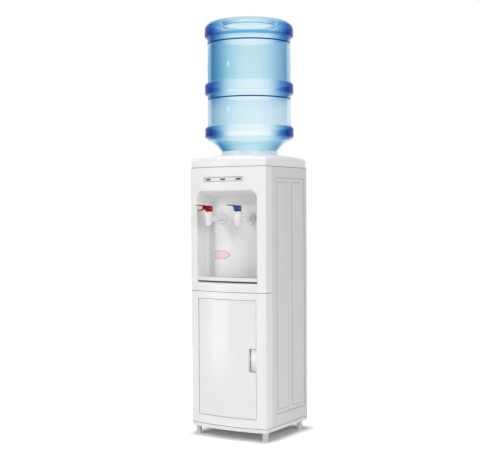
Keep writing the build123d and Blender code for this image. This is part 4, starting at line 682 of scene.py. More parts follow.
@dataclass(frozen=True)
class ClearPlastic(Finish):
    """Clear tinted plastic of a turned bottle, deeper in colour where its wall is seen edge on.

    Depths are ramps of colour from a wall seen face on, at 0, to one seen edge on, at 1. A distance from the
    axis between the two values of hoop_start leads from the waist's ramp to the hoops' ramp. The painted
    shade on the downward flank of the crown and the dark lines of painted shade in the grooves are drawn on
    the outer face alone, whose normal turns outward past outer_turn.
    """

    smooth: float = 0.02
    rough: float = 0.06
    drift: float = 0.98
    grain: float = 45.0
    relief: float = 0.0004
    relief_share: float = 0.25
    refraction: float = 1.12
    wall_tint: Colour = (0.04, 0.587, 0.827)
    density: float = 12.0
    shadow_tint: Colour = (0.82, 0.92, 0.97)
    axis: Pair = (0.0, 0.0)
    hoop_start: Pair = (0.1315, 0.1365)
    flank_start: Pair = (0.1195, 0.1265)
    flank_slant: Pair = (-0.3, -0.6)
    flank_rise: Pair = (1.18, 1.235)
    flank_fade: float = 0.01
    # multiplied in as painted shade on the downward flank of the crown
    flank_shade_tone: Colour = (0.30, 0.60, 0.85)
    dish_slant: Pair = (0.75, 0.98)
    dish_tone: Colour = (0.66, 0.86, 0.94)
    grooves: tuple[float, ...] = ()
    groove_half: float = 0.002
    # multiplied in as dark lines of painted shade in the grooves
    groove_shade_tone: Colour = (0.01, 0.06, 0.26)
    outer_turn: Pair = (0.0, 0.1)
    pale_tone: Colour = (0.97, 0.99, 1.0)
    pale_top: Pair = (1.06, 1.0)
    pale_foot: Pair = (0.925, 0.95)
    pale_waist: float = 0.4
    light_side: Point = (0.84, 0.54, 0.0)
    # share of the pale tone painted as a highlight on the side towards light_side
    side_highlight_share: float = 0.3
    waist_depths: Stops = (
        (0.0, (0.75, 0.89, 0.935)),
        (0.11, (0.60, 0.80, 0.88)),
        (0.26, (0.38, 0.62, 0.77)),
        (0.52, (0.12, 0.36, 0.58)),
        (0.58, (0.16, 0.40, 0.62)),
        # painted highlight: the waist turns pale again near its outline, where the wall is seen edge on
        (0.64, (0.97, 0.985, 1.0)),
    )
    hoop_depths: Stops = (
        (0.0, (0.98, 0.99, 1.0)),
        (0.10, (0.88, 0.95, 0.98)),
        (0.28, (0.17, 0.43, 0.70)),
        (0.50, (0.008, 0.09, 0.44)),
        (0.85, (0.04, 0.18, 0.52)),
    )

    @staticmethod
    def _ramp(sheet: NodeSheet, facing: Socket, stops: Stops, place: Pair) -> Socket:
        """Adds a ramp of colour from face on to edge on.

        Args:
            sheet: Sheet to add to.
            facing: Socket that is 0 face on and 1 edge on.
            stops: Places and colours along the ramp.
            place: Where the node sits in the editor.

        Returns:
            Socket of the colour.
        """
        node = sheet.add("ShaderNodeValToRGB", place)
        scale = node.color_ramp
        while len(scale.elements) < len(stops):
            scale.elements.new(1.0)
        for element, (position, colour) in zip(scale.elements, stops):
            element.position = position
            element.color = rgba(colour)
        return sheet.wire(node, {"Fac": facing}).outputs["Color"]

    @staticmethod
    def _product(sheet: NodeSheet, masks: list[Socket], place: Pair) -> Socket:
        """Multiplies masks together.

        Args:
            sheet: Sheet to add to.
            masks: Sockets to multiply.
            place: Where the first node sits in the editor.

        Returns:
            Socket of the product.
        """
        total = masks[0]
        for index, mask in enumerate(masks[1:]):
            total = sheet.number("MULTIPLY", (place[0] + 150 * index, place[1]), total, mask)
        return total

    def _flank(self, sheet: NodeSheet, reach: Socket, height: Socket, slant: Socket) -> Socket:
        """Adds a mask of the downward flank of the crown, which painted shade darkens.

        Args:
            sheet: Sheet to add to.
            reach: Socket of the distance from the axis.
            height: Socket of the height.
            slant: Socket of the upward part of the surface's normal.

        Returns:
            Socket of the mask.
        """
        floor, ceiling = self.flank_rise
        masks = [
            sheet.spread(slant, (-700, 900), self.flank_slant, soft=True),
            sheet.spread(reach, (-700, 750), self.flank_start, soft=True),
            sheet.spread(height, (-700, 600), (floor, floor + self.flank_fade), soft=True),
            sheet.spread(height, (-700, 450), (ceiling + self.flank_fade, ceiling), soft=True),
        ]
        return self._product(sheet, masks, (-450, 800))

    def _groove(self, sheet: NodeSheet, height: Socket) -> Socket:
        """Adds a mask of the grooves in the waist, which dark lines of painted shade fill.

        Args:
            sheet: Sheet to add to.
            height: Socket of the height.

        Returns:
            Socket of the mask.
        """
        rows = [1200 + 150 * row for row in range(len(self.grooves))]
        bands = [
            sheet.number("COMPARE", (-900, row), height, middle, self.groove_half)
            for row, middle in zip(rows, self.grooves)
        ]
        total = bands[0]
        for row, band in zip(rows[1:], bands[1:]):
            total = sheet.number("MAXIMUM", (-700, row), total, band)
        return total

    def _pale(self, sheet: NodeSheet, outward: Socket, height: Socket) -> Socket:
        """Adds how much paler the lower waist is, plus a painted highlight on the side towards light_side.

        Args:
            sheet: Sheet to add to.
            outward: Socket of the level direction from the axis.
            height: Socket of the height.

        Returns:
            Socket of the share of the pale tone.
        """
        ends = [
            sheet.spread(height, (-900, 1600), self.pale_top, soft=True),
            sheet.spread(height, (-900, 1750), self.pale_foot, soft=True),
        ]
        band = self._product(sheet, ends, (-700, 1650))
        # painted highlight: the side of the bottle towards light_side turns paler
        towards = sheet.vector("DOT_PRODUCT", (-900, 1900), outward, self.light_side)
        side = sheet.spread(towards, (-700, 1900), (0.0, 1.0), (0.0, self.side_highlight_share))
        return sheet.number("MULTIPLY_ADD", (-500, 1750), band, self.pale_waist, side)

    def _wall(self, sheet: NodeSheet, reach: Socket, outward: Socket, height: Socket) -> Socket:
        """Adds the colour of the waist and the hoops, by how far the wall turns away.

        Args:
            sheet: Sheet to add to.
            reach: Socket of the distance from the axis.
            outward: Socket of the level direction from the axis.
            height: Socket of the height.

        Returns:
            Socket of the colour.
        """
        edge = sheet.add("ShaderNodeLayerWeight", (-900, 150))
        facing = sheet.wire(edge, {"Blend": 0.5, "Normal": outward}).outputs["Facing"]
        waist = self._ramp(sheet, facing, self.waist_depths, (-700, 200))
        hoops = self._ramp(sheet, facing, self.hoop_depths, (-700, 0))
        pale = sheet.mix((-250, 350), self._pale(sheet, outward, height), waist, rgba(self.pale_tone))
        hooped = sheet.spread(reach, (-500, 400), self.hoop_start, soft=True)
        return sheet.mix((-100, 250), hooped, pale, hoops)

    def _colour(self, sheet: NodeSheet) -> Socket:
        """Adds the colour of the whole bottle: wall, dish, and painted shade on the flank of the crown and in
        the grooves.

        Args:
            sheet: Sheet to add to.

        Returns:
            Socket of the colour.
        """
        place = sheet.coordinates((-1700, 400))
        centred = sheet.vector("SUBTRACT", (-1500, 400), place, (*self.axis, 0.0))
        spoke = sheet.vector("MULTIPLY", (-1300, 400), centred, (1.0, 1.0, 0.0))
        reach = sheet.vector("LENGTH", (-1100, 300), spoke)
        outward = sheet.vector("NORMALIZE", (-1100, 150), spoke)
        height = sheet.split(place, (-1100, 700))["Z"]
        normal = sheet.add("ShaderNodeNewGeometry", (-1300, 1050)).outputs["Normal"]
        slant = sheet.split(normal, (-1100, 900))["Z"]
        lying = sheet.number("ABSOLUTE", (-500, 2050), slant)
        dish = sheet.spread(lying, (-300, 2050), self.dish_slant, soft=True)
        wall = self._wall(sheet, reach, outward, height)
        colour = sheet.mix((0, 250), dish, wall, rgba(self.dish_tone))
        turned = sheet.vector("DOT_PRODUCT", (-700, 1050), normal, outward)
        shown = sheet.spread(turned, (-500, 1050), self.outer_turn, soft=True)
        # painted shade: darkens the downward flank of the crown and the grooves
        lines = (
            (self._flank(sheet, reach, height, slant), self.flank_shade_tone),
            (self._groove(sheet, height), self.groove_shade_tone),
        )
        for row, (line, tone) in enumerate(lines):
            mask = self._product(sheet, [line, shown], (-300, 900 + 150 * row))
            colour = sheet.mix((50 + 150 * row, 300), mask, colour, rgba(tone), "MULTIPLY")
        return colour

    def fill(self, sheet: NodeSheet, shader: Node, output: Node) -> None:
        """Sets a clear shader with a tinted wall, and lets shadow rays through.

        Args:
            sheet: Sheet of the material.
            shader: Principled shader of the material.
            output: Output node of the material.
        """
        skin = self.skin(sheet)
        sheet.wire(
            shader,
            {
                "Base Color": self._colour(sheet),
                "Roughness": skin["Roughness"],
                "Transmission Weight": 1.0,
                "IOR": self.refraction,
            },
        )
        self.bump(sheet, skin["Height"], shader)
        wall = sheet.add("ShaderNodeVolumeAbsorption", (300, -350))
        sheet.wire(wall, {"Color": rgba(self.wall_tint), "Density": self.density})
        through = sheet.add("ShaderNodeBsdfTransparent", (300, 200))
        sheet.wire(through, {"Color": rgba(self.shadow_tint)})
        shadow = sheet.add("ShaderNodeLightPath", (100, 450)).outputs["Is Shadow Ray"]
        surface = sheet.choose((520, 150), shadow, shader.outputs["BSDF"], through.outputs["BSDF"])
        sheet.wire(output, {"Surface": surface, "Volume": wall.outputs["Volume"]})


def as_mesh(name: str, form: bmesh.types.BMesh) -> bpy.types.Mesh:
    """Turns a form under work into a mesh, and frees the form.

    Args:
        name: Name of the mesh.
        form: Form under work.

    Returns:
        The mesh.
    """
    mesh = bpy.data.meshes.new(name)
    form.to_mesh(mesh)
    form.free()
    return mesh


def finish_piece(
    form: bmesh.types.BMesh, name: str, body: Body, finishes: tuple[Finish, ...]
) -> bpy.types.Object:
    """Makes a dressed piece of a form under work, which rides on a body.

    Args:
        form: Form in metres in the shared frame; it is freed.
        name: Name of the piece.
        body: Body that carries it.
        finishes: Finishes by material index.

    Returns:
        The new piece.
    """
    bmesh.ops.recalc_face_normals(form, faces=form.faces)
    mesh = as_mesh(name, form)
    for finish in finishes:
        mesh.materials.append(finish.material())
    piece = bpy.data.objects.new(name, mesh)
    bpy.context.scene.collection.objects.link(piece)
    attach(piece, body.value)
    LOG.info("built %s with %d faces", name, len(mesh.polygons))
    return piece


def rounded_profile(corners: list[tuple[float, float, float]], steps: int) -> Profile:
    """Rounds the corners of an open profile with arcs.

    Args:
        corners: Corners as (radius, height, rounding); a rounding of 0 leaves a corner sharp.
        steps: Straight pieces in each arc.

    Returns:
        The points of the rounded profile.
    """
    result: Profile = []
    for index, (radius, height, rounding) in enumerate(corners):
        if rounding == 0:
            result.append((radius, height))
            continue
        here = Vector((radius, height))
        before = (Vector(corners[index - 1][:2]) - here).normalized()
        after = (Vector(corners[index + 1][:2]) - here).normalized()
        half = before.angle(after) / 2
        reach = rounding / math.tan(half)
        middle = here + (before + after).normalized() * (rounding / math.sin(half))
        first, last = here + before * reach - middle, here + after * reach - middle
        turn = first.angle_signed(last)
        for step in range(steps + 1):
            spoke = Matrix.Rotation(-turn * step / steps, 2) @ first
            result.append((middle.x + spoke.x, middle.y + spoke.y))
    return result


def lathe(profile: Profile, axis: Pair, segments: int, closed: bool) -> bmesh.types.BMesh:
    """Turns a profile about an upright axis.

    Args:
        profile: Points as (radius, height).
        axis: X and Y of the axis.
        segments: Divisions round the axis.
        closed: Whether the last point joins back to the first.

    Returns:
        The turned form, smooth all over.
    """
    form = bmesh.new()
    angles = [2 * math.pi * index / segments for index in range(segments)]
    rings: list[list[bmesh.types.BMVert]] = []
    for radius, height in profile:
        spots = [(axis[0] + radius * math.cos(turn), axis[1] + radius * math.sin(turn)) for turn in angles]
        if radius < AXIS_REACH:
            spots = [axis]
        rings.append([form.verts.new((*spot, height)) for spot in spots])
    pairs = list(zip(rings, rings[1:]))
    if closed:
        pairs.append((rings[-1], rings[0]))
    for lower, upper in pairs:
        for index in range(segments):
            after = (index + 1) % segments
            if len(lower) == 1 and len(upper) == 1:
                continue
            if len(lower) == 1:
                form.faces.new((lower[0], upper[after], upper[index]))
            elif len(upper) == 1:
                form.faces.new((lower[index], lower[after], upper[0]))
            else:
                form.faces.new((lower[index], lower[after], upper[after], upper[index]))
    bmesh.ops.recalc_face_normals(form, faces=form.faces)
    for face in form.faces:
        face.smooth = True
    return form


def join_lines(
    form: bmesh.types.BMesh, lines: list[list[bmesh.types.BMVert]], closed: bool
) -> list[bmesh.types.BMFace]:
    """Makes a bar out of the lines along its edges.

    Args:
        form: Form to add to.
        lines: Vertices along each edge, in order round the section.
        closed: Whether the bar runs back into itself; an open bar gets end faces.

    Returns:
        The faces, side by side in the order of the lines and then the ends.
    """
    count = len(lines[0])
    faces: list[bmesh.types.BMFace] = []
    for here, after in zip(lines, lines[1:] + lines[:1]):
        for index in range(count if closed else count - 1):
            step = (index + 1) % count
            faces.append(form.faces.new((here[index], here[step], after[step], after[index])))
    if not closed:
        faces += [form.faces.new([line[end] for line in lines]) for end in (0, count - 1)]
    return faces


@dataclass(frozen=True)
class WaterBottle:
    """Upturned clear bottle with three hoops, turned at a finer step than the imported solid."""

    axis: Pair = (0.0, 0.037)
    mouth: float = 0.78911
    neck_root: float = 0.84111
    neck: float = 0.0275
    wall: float = 0.0016
    ring: float = 0.138
    waist: float = 0.1295
    shoulder: float = 0.088
    shoulder_rise: float = 0.032
    shoulder_top: float = 0.076
    knees: tuple[Pair, ...] = ((0.475, 0.6), (0.825, 0.8))
    hoop_flat: float = 0.026
    hoop_slope: float = 0.010
    lower_waist: float = 0.089
    upper_waist: float = 0.132
    groove_drops: Pair = (0.009, 0.015)
    groove: float = 0.0015
    crown_slope: float = 0.009
    crown_height: float = 0.043
    crown_radius: float = 0.024
    heel: float = 0.092
    heel_depth: float = 0.010
    neck_round: float = 0.008
    shoulder_round: float = 0.014
    hoop_round: float = 0.005
    crown_round: float = 0.006
    dish_round: float = 0.004
    segments: int = 144
    arc_steps: int = 8

    @property
    def ring_foot(self) -> float:
        """Height from which the lowest hoop is at its full width."""
        return self.neck_root + self.shoulder_top

    @property
    def middle_foot(self) -> float:
        """Height from which the middle hoop is at its full width."""
        return self.ring_foot + self.hoop_flat + self.lower_waist + 2 * self.hoop_slope

    @property
    def crown_foot(self) -> float:
        """Height at which the waist ends under the crown."""
        return self.middle_foot + self.hoop_flat + self.hoop_slope + self.upper_waist

    @property
    def grooves(self) -> Pair:
        """Heights of the two grooves, under the middle hoop and under the crown."""
        lower, upper = self.groove_drops
        return (self.middle_foot - self.hoop_slope - lower, self.crown_foot - upper)

    def _groove(self, waist: float, height: float) -> list[tuple[float, float, float]]:
        """Corners of one shallow groove, from below upwards.

        Args:
            waist: Radius of the waist that it is cut into.
            height: Height of its bottom.

        Returns:
            Corners as (radius, height, rounding).
        """
        return [
            (waist, height - self.groove, 0.0),
            (waist - self.groove, height, 0.0),
            (waist, height + self.groove, 0.0),
        ]

    def profile(self, inset: float) -> Profile:
        """Half profile from the mouth up to the dished base.

        Args:
            inset: How far inside the outer face the profile runs.

        Returns:
            The rounded profile.
        """
        slope = self.shoulder_rise / (self.shoulder - self.neck)
        ring, waist = self.ring - inset, self.waist - inset
        root = self.neck_root + (math.hypot(1, slope) - slope) * inset
        ring_top = self.ring_foot + self.hoop_flat
        middle, crown = self.middle_foot, self.crown_foot
        middle_top = middle + self.hoop_flat
        top = crown + self.crown_slope + self.crown_height - inset
        shoulder, shoulder_z = self.shoulder - inset, root + self.shoulder_rise
        out, up = ring - shoulder, self.ring_foot - shoulder_z
        knees = [
            (shoulder + across * out, shoulder_z + rise * up, self.neck_round) for across, rise in self.knees
        ]
        corners = [
            (self.neck - inset, self.mouth, 0.0),
            (self.neck - inset, root, self.neck_round),
            (shoulder, shoulder_z, self.shoulder_round),
            *knees,
            (ring, self.ring_foot, self.hoop_round),
            (ring, ring_top, self.hoop_round),
            (waist, ring_top + self.hoop_slope, self.hoop_round),
            *self._groove(waist, self.grooves[0]),
            (waist, middle - self.hoop_slope, self.hoop_round),
            (ring, middle, self.hoop_round),
            (ring, middle_top, self.hoop_round),
            (waist, middle_top + self.hoop_slope, self.hoop_round),
            *self._groove(waist, self.grooves[1]),
            (waist, crown, self.crown_round),
            (ring, crown + self.crown_slope, self.crown_round),
            (ring, top, self.crown_radius - inset),
            (self.heel, top, self.hoop_round),
            (self.heel - self.heel_depth, top - self.heel_depth, self.dish_round),
            (0.0, top - self.heel_depth, 0.0),
        ]
        return rounded_profile(corners, self.arc_steps)

    def build(self) -> bpy.types.Object:
        """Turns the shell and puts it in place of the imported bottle.

        Returns:
            The bottle.
        """
        shell = self.profile(0.0) + self.profile(self.wall)[::-1]
        form = lathe(shell, self.axis, self.segments, True)
        piece = finish_piece(form, "bottle_shell", Body.BOTTLE, (Finishes.bottle,))
        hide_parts("bottle")
        return piece


BOTTLE = WaterBottle()


class Finishes:
    """Every finish of the dispenser, by what it is used on."""

    shell = MouldedPlastic("shell_white", (0.84, 0.84, 0.84), smooth=0.24, rough=0.34)
    door = MouldedPlastic("door_white", (0.80, 0.80, 0.80), smooth=0.12, rough=0.2)
    alcove = MouldedPlastic("alcove_white", (0.78, 0.78, 0.78), smooth=0.3, rough=0.42)
    liner = MouldedPlastic("liner_white", (0.70, 0.70, 0.71), smooth=0.45, rough=0.6)
    panel = PaintedSheet(
        "panel_white",
        (0.73, 0.73, 0.73),
        frames=(
            (0.053, 0.4315, 0.0895, 0.3555),
            (0.008625, 0.4315, 0.032125, 0.3425),
            (0.097375, 0.4315, 0.032125, 0.3425),
        ),
    )
    back = PaintedSheet("back_grey", (0.42, 0.43, 0.44), smooth=0.45, rough=0.6)
    foot = MouldedPlastic("foot_white", (0.68, 0.68, 0.69), smooth=0.4, rough=0.55)
    strip = MouldedPlastic("strip_white", (0.76, 0.77, 0.78), smooth=0.14, rough=0.22)
    lamp = MouldedPlastic("lamp_dark", (0.012, 0.013, 0.017), smooth=0.08, rough=0.16, dulling=0.02)
    grille = MouldedPlastic("grille_white", (0.66, 0.67, 0.68), smooth=0.35, rough=0.5)
    tray = MouldedPlastic("tray_white", (0.78, 0.78, 0.785), smooth=0.26, rough=0.38)
    collar = MouldedPlastic("collar_white", (0.74, 0.75, 0.76), smooth=0.25, rough=0.36)
    bottle = ClearPlastic("bottle_blue", WHITE, axis=BOTTLE.axis, grooves=BOTTLE.grooves)
    tap = MouldedPlastic("tap_white", (0.78, 0.78, 0.78), smooth=0.14, rough=0.24, coat=0.2)
    cold = MouldedPlastic("cold_blue", (0.022, 0.060, 0.25), smooth=0.2, rough=0.32, specular=0.2)
    hot = MouldedPlastic("hot_red", (0.40, 0.002, 0.010), smooth=0.3, rough=0.42, specular=0.06)
    catch = MouldedPlastic("catch_red", (0.45, 0.004, 0.014), smooth=0.3, rough=0.42, specular=0.06)
    steel = BareMetal("steel", (0.62, 0.63, 0.64))
    zinc = BareMetal("zinc_sheet", (0.5, 0.52, 0.53), smooth=0.35, rough=0.6)
    aluminium = BareMetal("aluminium", (0.72, 0.73, 0.74), smooth=0.28, rough=0.46)
    foam = CellularFinish("foam", (0.72, 0.71, 0.64))
    inner = MouldedPlastic("inner_white", (0.62, 0.62, 0.61), smooth=0.45, rough=0.6)
    silicone = CellularFinish("silicone", (0.60, 0.60, 0.57), cells=900.0, relief=0.00005, roughness=0.5)
    black = MouldedPlastic("black_plastic", (0.014, 0.014, 0.016), smooth=0.35, rough=0.5)
    heat_rocker = MouldedPlastic("switch_red", (0.36, 0.012, 0.012), smooth=0.15, rough=0.26)
    cool_rocker = MouldedPlastic("switch_green", (0.01, 0.12, 0.035), smooth=0.15, rough=0.26)
    ceramic = CellularFinish("ceramic", (0.72, 0.71, 0.67), cells=1500.0, relief=0.00004, roughness=0.6)
    heater = BareMetal("heater_band", (0.45, 0.41, 0.36), smooth=0.4, rough=0.6)
    board = MouldedPlastic("board_green", (0.008, 0.05, 0.022), smooth=0.25, rough=0.4, drift=0.8)
    decal = MouldedPlastic("decal_pink", (0.80, 0.60, 0.63), smooth=0.3, rough=0.4, relief=0.00001)
    decal_edge = MouldedPlastic("decal_rim", (0.72, 0.30, 0.36), smooth=0.3, rough=0.4, relief=0.00001)
    # near-black tone of painted shadow for the tray's finger gap
    slot_shadow = MouldedPlastic("slot_shadow_dark", (0.07, 0.07, 0.072), smooth=0.5, rough=0.65)
    # grey tone of painted shadow for the gap beside the door
    gap_shadow = MouldedPlastic("gap_shadow_grey", (0.22, 0.22, 0.22), smooth=0.5, rough=0.65)
    # near-black tone of painted shadow for the joint lines and the ring round the indicator strip
    painted_shadow = MouldedPlastic("painted_shadow_grey", (0.06, 0.06, 0.062), smooth=0.5, rough=0.65)


@dataclass(frozen=True)
class BowedFront:
    """Plan of the body: a bowed front between two straight sides."""

    half: float = 0.135
    radius: float = 0.57753
    centre_y: float = 0.47053
    corner: float = 0.005
    front_steps: int = 36
    corner_steps: int = 6

    def depth(self, x: float, inset: float) -> float:
        """Y of the front at X, that far in from the outer face."""
        return self.centre_y - math.sqrt((self.radius - inset) ** 2 - x * x)

    def plan(self, inset: float, rear: float) -> Profile:
        """Runs from the rear of the left side round the front to the rear of the right side.

        Args:
            inset: How far inside the outer face the line runs.
            rear: Y at which both ends stop.

        Returns:
            Points as (x, y).
        """
        half = self.half - inset
        turn = half - self.corner + inset
        side = self.depth(half, inset)
        bend = [(turn, self.depth(turn, inset)), (half, side), (half, side + self.corner)]
        right: Profile = []
        for step in range(self.corner_steps + 1):
            share = step / self.corner_steps
            weights = ((1 - share) ** 2, 2 * share * (1 - share), share**2)
            x = sum(weight * point[0] for weight, point in zip(weights, bend))
            y = sum(weight * point[1] for weight, point in zip(weights, bend))
            right.append((x, y))
        left = [(-x, y) for x, y in reversed(right)]
        across = [turn * (2 * step / self.front_steps - 1) for step in range(1, self.front_steps)]
        middle = [(x, self.depth(x, inset)) for x in across]
        return [(-half, rear), *left, *middle, *right, (half, rear)]


@dataclass
class FrontFitting:
    """Small piece that follows the bow of the front."""

    front: BowedFront = field(default_factory=BowedFront)
    bar_steps: int = 24

    def bar(self, form: bmesh.types.BMesh, span: Pair, rise: Pair, depth: Pair) -> None:
        """Adds a bar of even depth that follows the bow.

        Args:
            form: Form to add to.
            span: First and last X.
            rise: Lower and upper Z.
            depth: How far its outer and inner faces lie behind the front.
        """
        steps = self.bar_steps
        across = [span[0] + (span[1] - span[0]) * step / steps for step in range(steps + 1)]
        section = ((depth[0], rise[0]), (depth[0], rise[1]), (depth[1], rise[1]), (depth[1], rise[0]))
        lines = [[form.verts.new((x, self.front.depth(x, inset), z)) for x in across] for inset, z in section]
        join_lines(form, lines, False)


@dataclass
class JointShadowStrips(FrontFitting):
    """Dark strips at the bottom of the joint lines between the mouldings: painted shadow standing in for the
    shade in the gaps.

    The split is given as the height of its strip and the Y at which its sides end, and the rings, which run
    right round, by their heights.
    """

    recess: float = 0.0008
    thickness: float = 0.0006
    height: float = 0.0014
    split: Pair = (0.44305, -0.0585)
    rings: Pair = (0.03895, 0.82005)
    rear: float = 0.1602

    def _band(self, form: bmesh.types.BMesh, bottom: float, rear: float, closed: bool) -> None:
        """Adds one strip that follows the plan of the body.

        Args:
            form: Form to add to.
            bottom: Height of its lower edge.
            rear: Y at which the sides end.
            closed: Whether it also runs along the back.
        """
        inner, top = self.recess + self.thickness, bottom + self.height
        section = ((self.recess, bottom), (self.recess, top), (inner, top), (inner, bottom))
        lines = []
        for inset, z in section:
            plan = self.front.plan(inset, rear - inset if closed else rear)
            lines.append([form.verts.new((x, y, z)) for x, y in plan])
        join_lines(form, lines, closed)

    def build(self) -> bpy.types.Object:
        """Makes the strips of the base, the split and the lid.

        Returns:
            All the strips as one piece.
        """
        # painted shadow: dark strips where the joint lines fall in shade
        form = bmesh.new()
        self._band(form, *self.split, False)
        for bottom in self.rings:
            self._band(form, bottom, self.rear, True)
        return finish_piece(form, "joint_shadow_strips", Body.CABINET, (Finishes.painted_shadow,))


@dataclass
class StripShadowRing(FrontFitting):
    """Thin dark ring round the indicator strip, lying on its bowed face: painted shadow standing in for the
    shade round its edge.
    """

    centre: Pair = (-0.007, 0.7835)
    length: float = 0.1456
    height: float = 0.0136
    border: float = 0.0011
    setback: float = 0.00148
    thickness: float = 0.0004
    quarter_steps: int = 10

    def _slot(self, grow: float) -> Profile:
        """Outline of a slot with round ends.

        Args:
            grow: How far outside the bezel's edge it runs.

        Returns:
            Points as (x, z).
        """
        steps = self.quarter_steps
        radius = self.height / 2 + grow
        reach = self.length / 2 + grow - radius
        points: Profile = []
        for side in (1, -1):
            for step in range(2 * steps + 1):
                angle = side * math.pi / 2 * (1 - step / steps)
                points.append((side * reach + side * radius * math.cos(angle), radius * math.sin(angle)))
            points += [(side * reach * (1 - 2 * step / steps), -side * radius) for step in range(1, steps)]
        return [(self.centre[0] + x, self.centre[1] + z) for x, z in points]

    def build(self) -> bpy.types.Object:
        """Bends the bezel to the bow of the front.

        Returns:
            The bezel.
        """
        form = bmesh.new()
        outer = self.setback - self.thickness
        section = ((0.0, self.setback), (0.0, outer), (-self.border, outer), (-self.border, self.setback))
        lines = []
        for grow, inset in section:
            lines.append([form.verts.new((x, self.front.depth(x, inset), z)) for x, z in self._slot(grow)])
        join_lines(form, lines, True)
        # painted shadow: a dark ring where the edge of the indicator strip falls in shade
        return finish_piece(form, "strip_shadow_ring", Body.CABINET, (Finishes.painted_shadow,))


@dataclass
class TraySlotShadow(FrontFitting):
    """Dark strip in the finger gap under the lip of the drip tray: painted shadow standing in for the shade
    in the gap.
    """

    half: float = 0.1025
    rise: Pair = (0.4716, 0.4769)
    depth: Pair = (0.0084, 0.009)

    def build(self) -> bpy.types.Object:
        """Bends the strip to the tray's front wall.

        Returns:
            The strip.
        """
        form = bmesh.new()
        self.bar(form, (-self.half, self.half), self.rise, self.depth)
        # painted shadow: a dark strip where the finger gap falls in shade
        return finish_piece(form, "tray_slot_shadow", Body.TRAY, (Finishes.slot_shadow,))


@dataclass
class DoorGapShadow(FrontFitting):
    """Grey strip on the free edge of the door, above and below the finger notch: painted shadow standing in
    for the shade in the gap beside the door.
    """

    edge: float = 0.103
    thickness: float = 0.0004
    depth: Pair = (0.0011, 0.007)
    runs: tuple[Pair, ...] = ((0.0706, 0.2055), (0.2805, 0.4178))

    def build(self) -> bpy.types.Object:
        """Lays both runs of the strip along the edge.

        Returns:
            The strip.
        """
        form = bmesh.new()
        for run in self.runs:
            self.bar(form, (self.edge, self.edge + self.thickness), run, self.depth)
        # painted shadow: a grey strip where the gap beside the door falls in shade
        return finish_piece(form, "door_gap_shadow", Body.DOOR, (Finishes.gap_shadow,))


@dataclass
class GripScoop(FrontFitting):
    """Curved scoop of the frame behind the finger notch, shallow at the stile and deep at its far side.

    The near and far sides are given as X and how far they lie behind the front.
    """

    near: Pair = (0.1039, 0.0022)
    far: Pair = (0.0797, 0.0130)
    rise: Pair = (0.2092, 0.2768)
    thickness: float = 0.0012
    steps: int = 16

    def _line(self, back: float) -> Profile:
        """Curve of one face in plan.

        Args:
            back: How far behind the shown face it runs.

        Returns:
            Points as (x, y).
        """
        points: Profile = []
        for step in range(self.steps + 1):
            turn = step / self.steps * math.pi / 2
            x = self.near[0] + (self.far[0] - self.near[0]) * math.sin(turn)
            inset = self.near[1] + (self.far[1] - self.near[1]) * (1 - math.cos(turn))
            points.append((x, self.front.depth(x, inset + back)))
        return points

    def build(self) -> bpy.types.Object:
        """Raises the scoop between the ends of the notch.

        Returns:
            The scoop.
        """
        form = bmesh.new()
        foot, head = self.rise
        section = ((0.0, foot), (0.0, head), (self.thickness, head), (self.thickness, foot))
        lines = [[form.verts.new((x, y, z)) for x, y in self._line(back)] for back, z in section]
        shown = join_lines(form, lines, False)[: self.steps]
        for face in shown:
            face.smooth = True
        return finish_piece(form, "grip_scoop", Body.CABINET, (Finishes.shell,))


@dataclass
class ArrowDecal:
    """Blank arrow-shaped sticker on the wall of the tap alcove."""

    wall_y: float = -0.041
    left: float = -0.078
    right: float = -0.021
    bottom: float = 0.5405
    top: float = 0.5655
    head: float = 0.016
    thickness: float = 0.0002
    border: float = 0.0024

    def _outline(self, inset: float) -> Profile:
        """Arrow outline, that far inside its edge.

        Args:
            inset: How far inside the edge it runs.

        Returns:
            Points as (x, z).
        """
        middle = (self.bottom + self.top) / 2
        rise = (self.top - self.bottom) / 2
        slant = math.hypot(self.head, rise)
        tip = self.right - inset * slant / rise
        neck = self.right - self.head - inset * (slant - self.head) / rise
        low, high = middle - (rise - inset), middle + (rise - inset)
        left = self.left + inset
        return [(left, low), (neck, low), (tip, middle), (neck, high), (left, high)]

    def build(self) -> bpy.types.Object:
        """Cuts the sticker out and sets its darker border round it.

        Returns:
            The sticker.
        """
        form = bmesh.new()
        shown, hidden = self.wall_y - self.thickness, self.wall_y
        lines = [
            [form.verts.new((x, y, z)) for x, z in self._outline(inset)]
            for inset, y in ((0.0, hidden), (0.0, shown), (self.border, shown))
        ]
        count = len(lines[0])
        rim = []
        for here, after in zip(lines, lines[1:]):
            for index in range(count):
                step = (index + 1) % count
                rim.append(form.faces.new((here[index], here[step], after[step], after[index])))
        form.faces.new(lines[2])
        rim.append(form.faces.new(lines[0]))
        for face in rim:
            face.material_index = 1
        finishes = (Finishes.decal, Finishes.decal_edge)
        return finish_piece(form, "arrow_sticker", Body.CABINET, finishes)


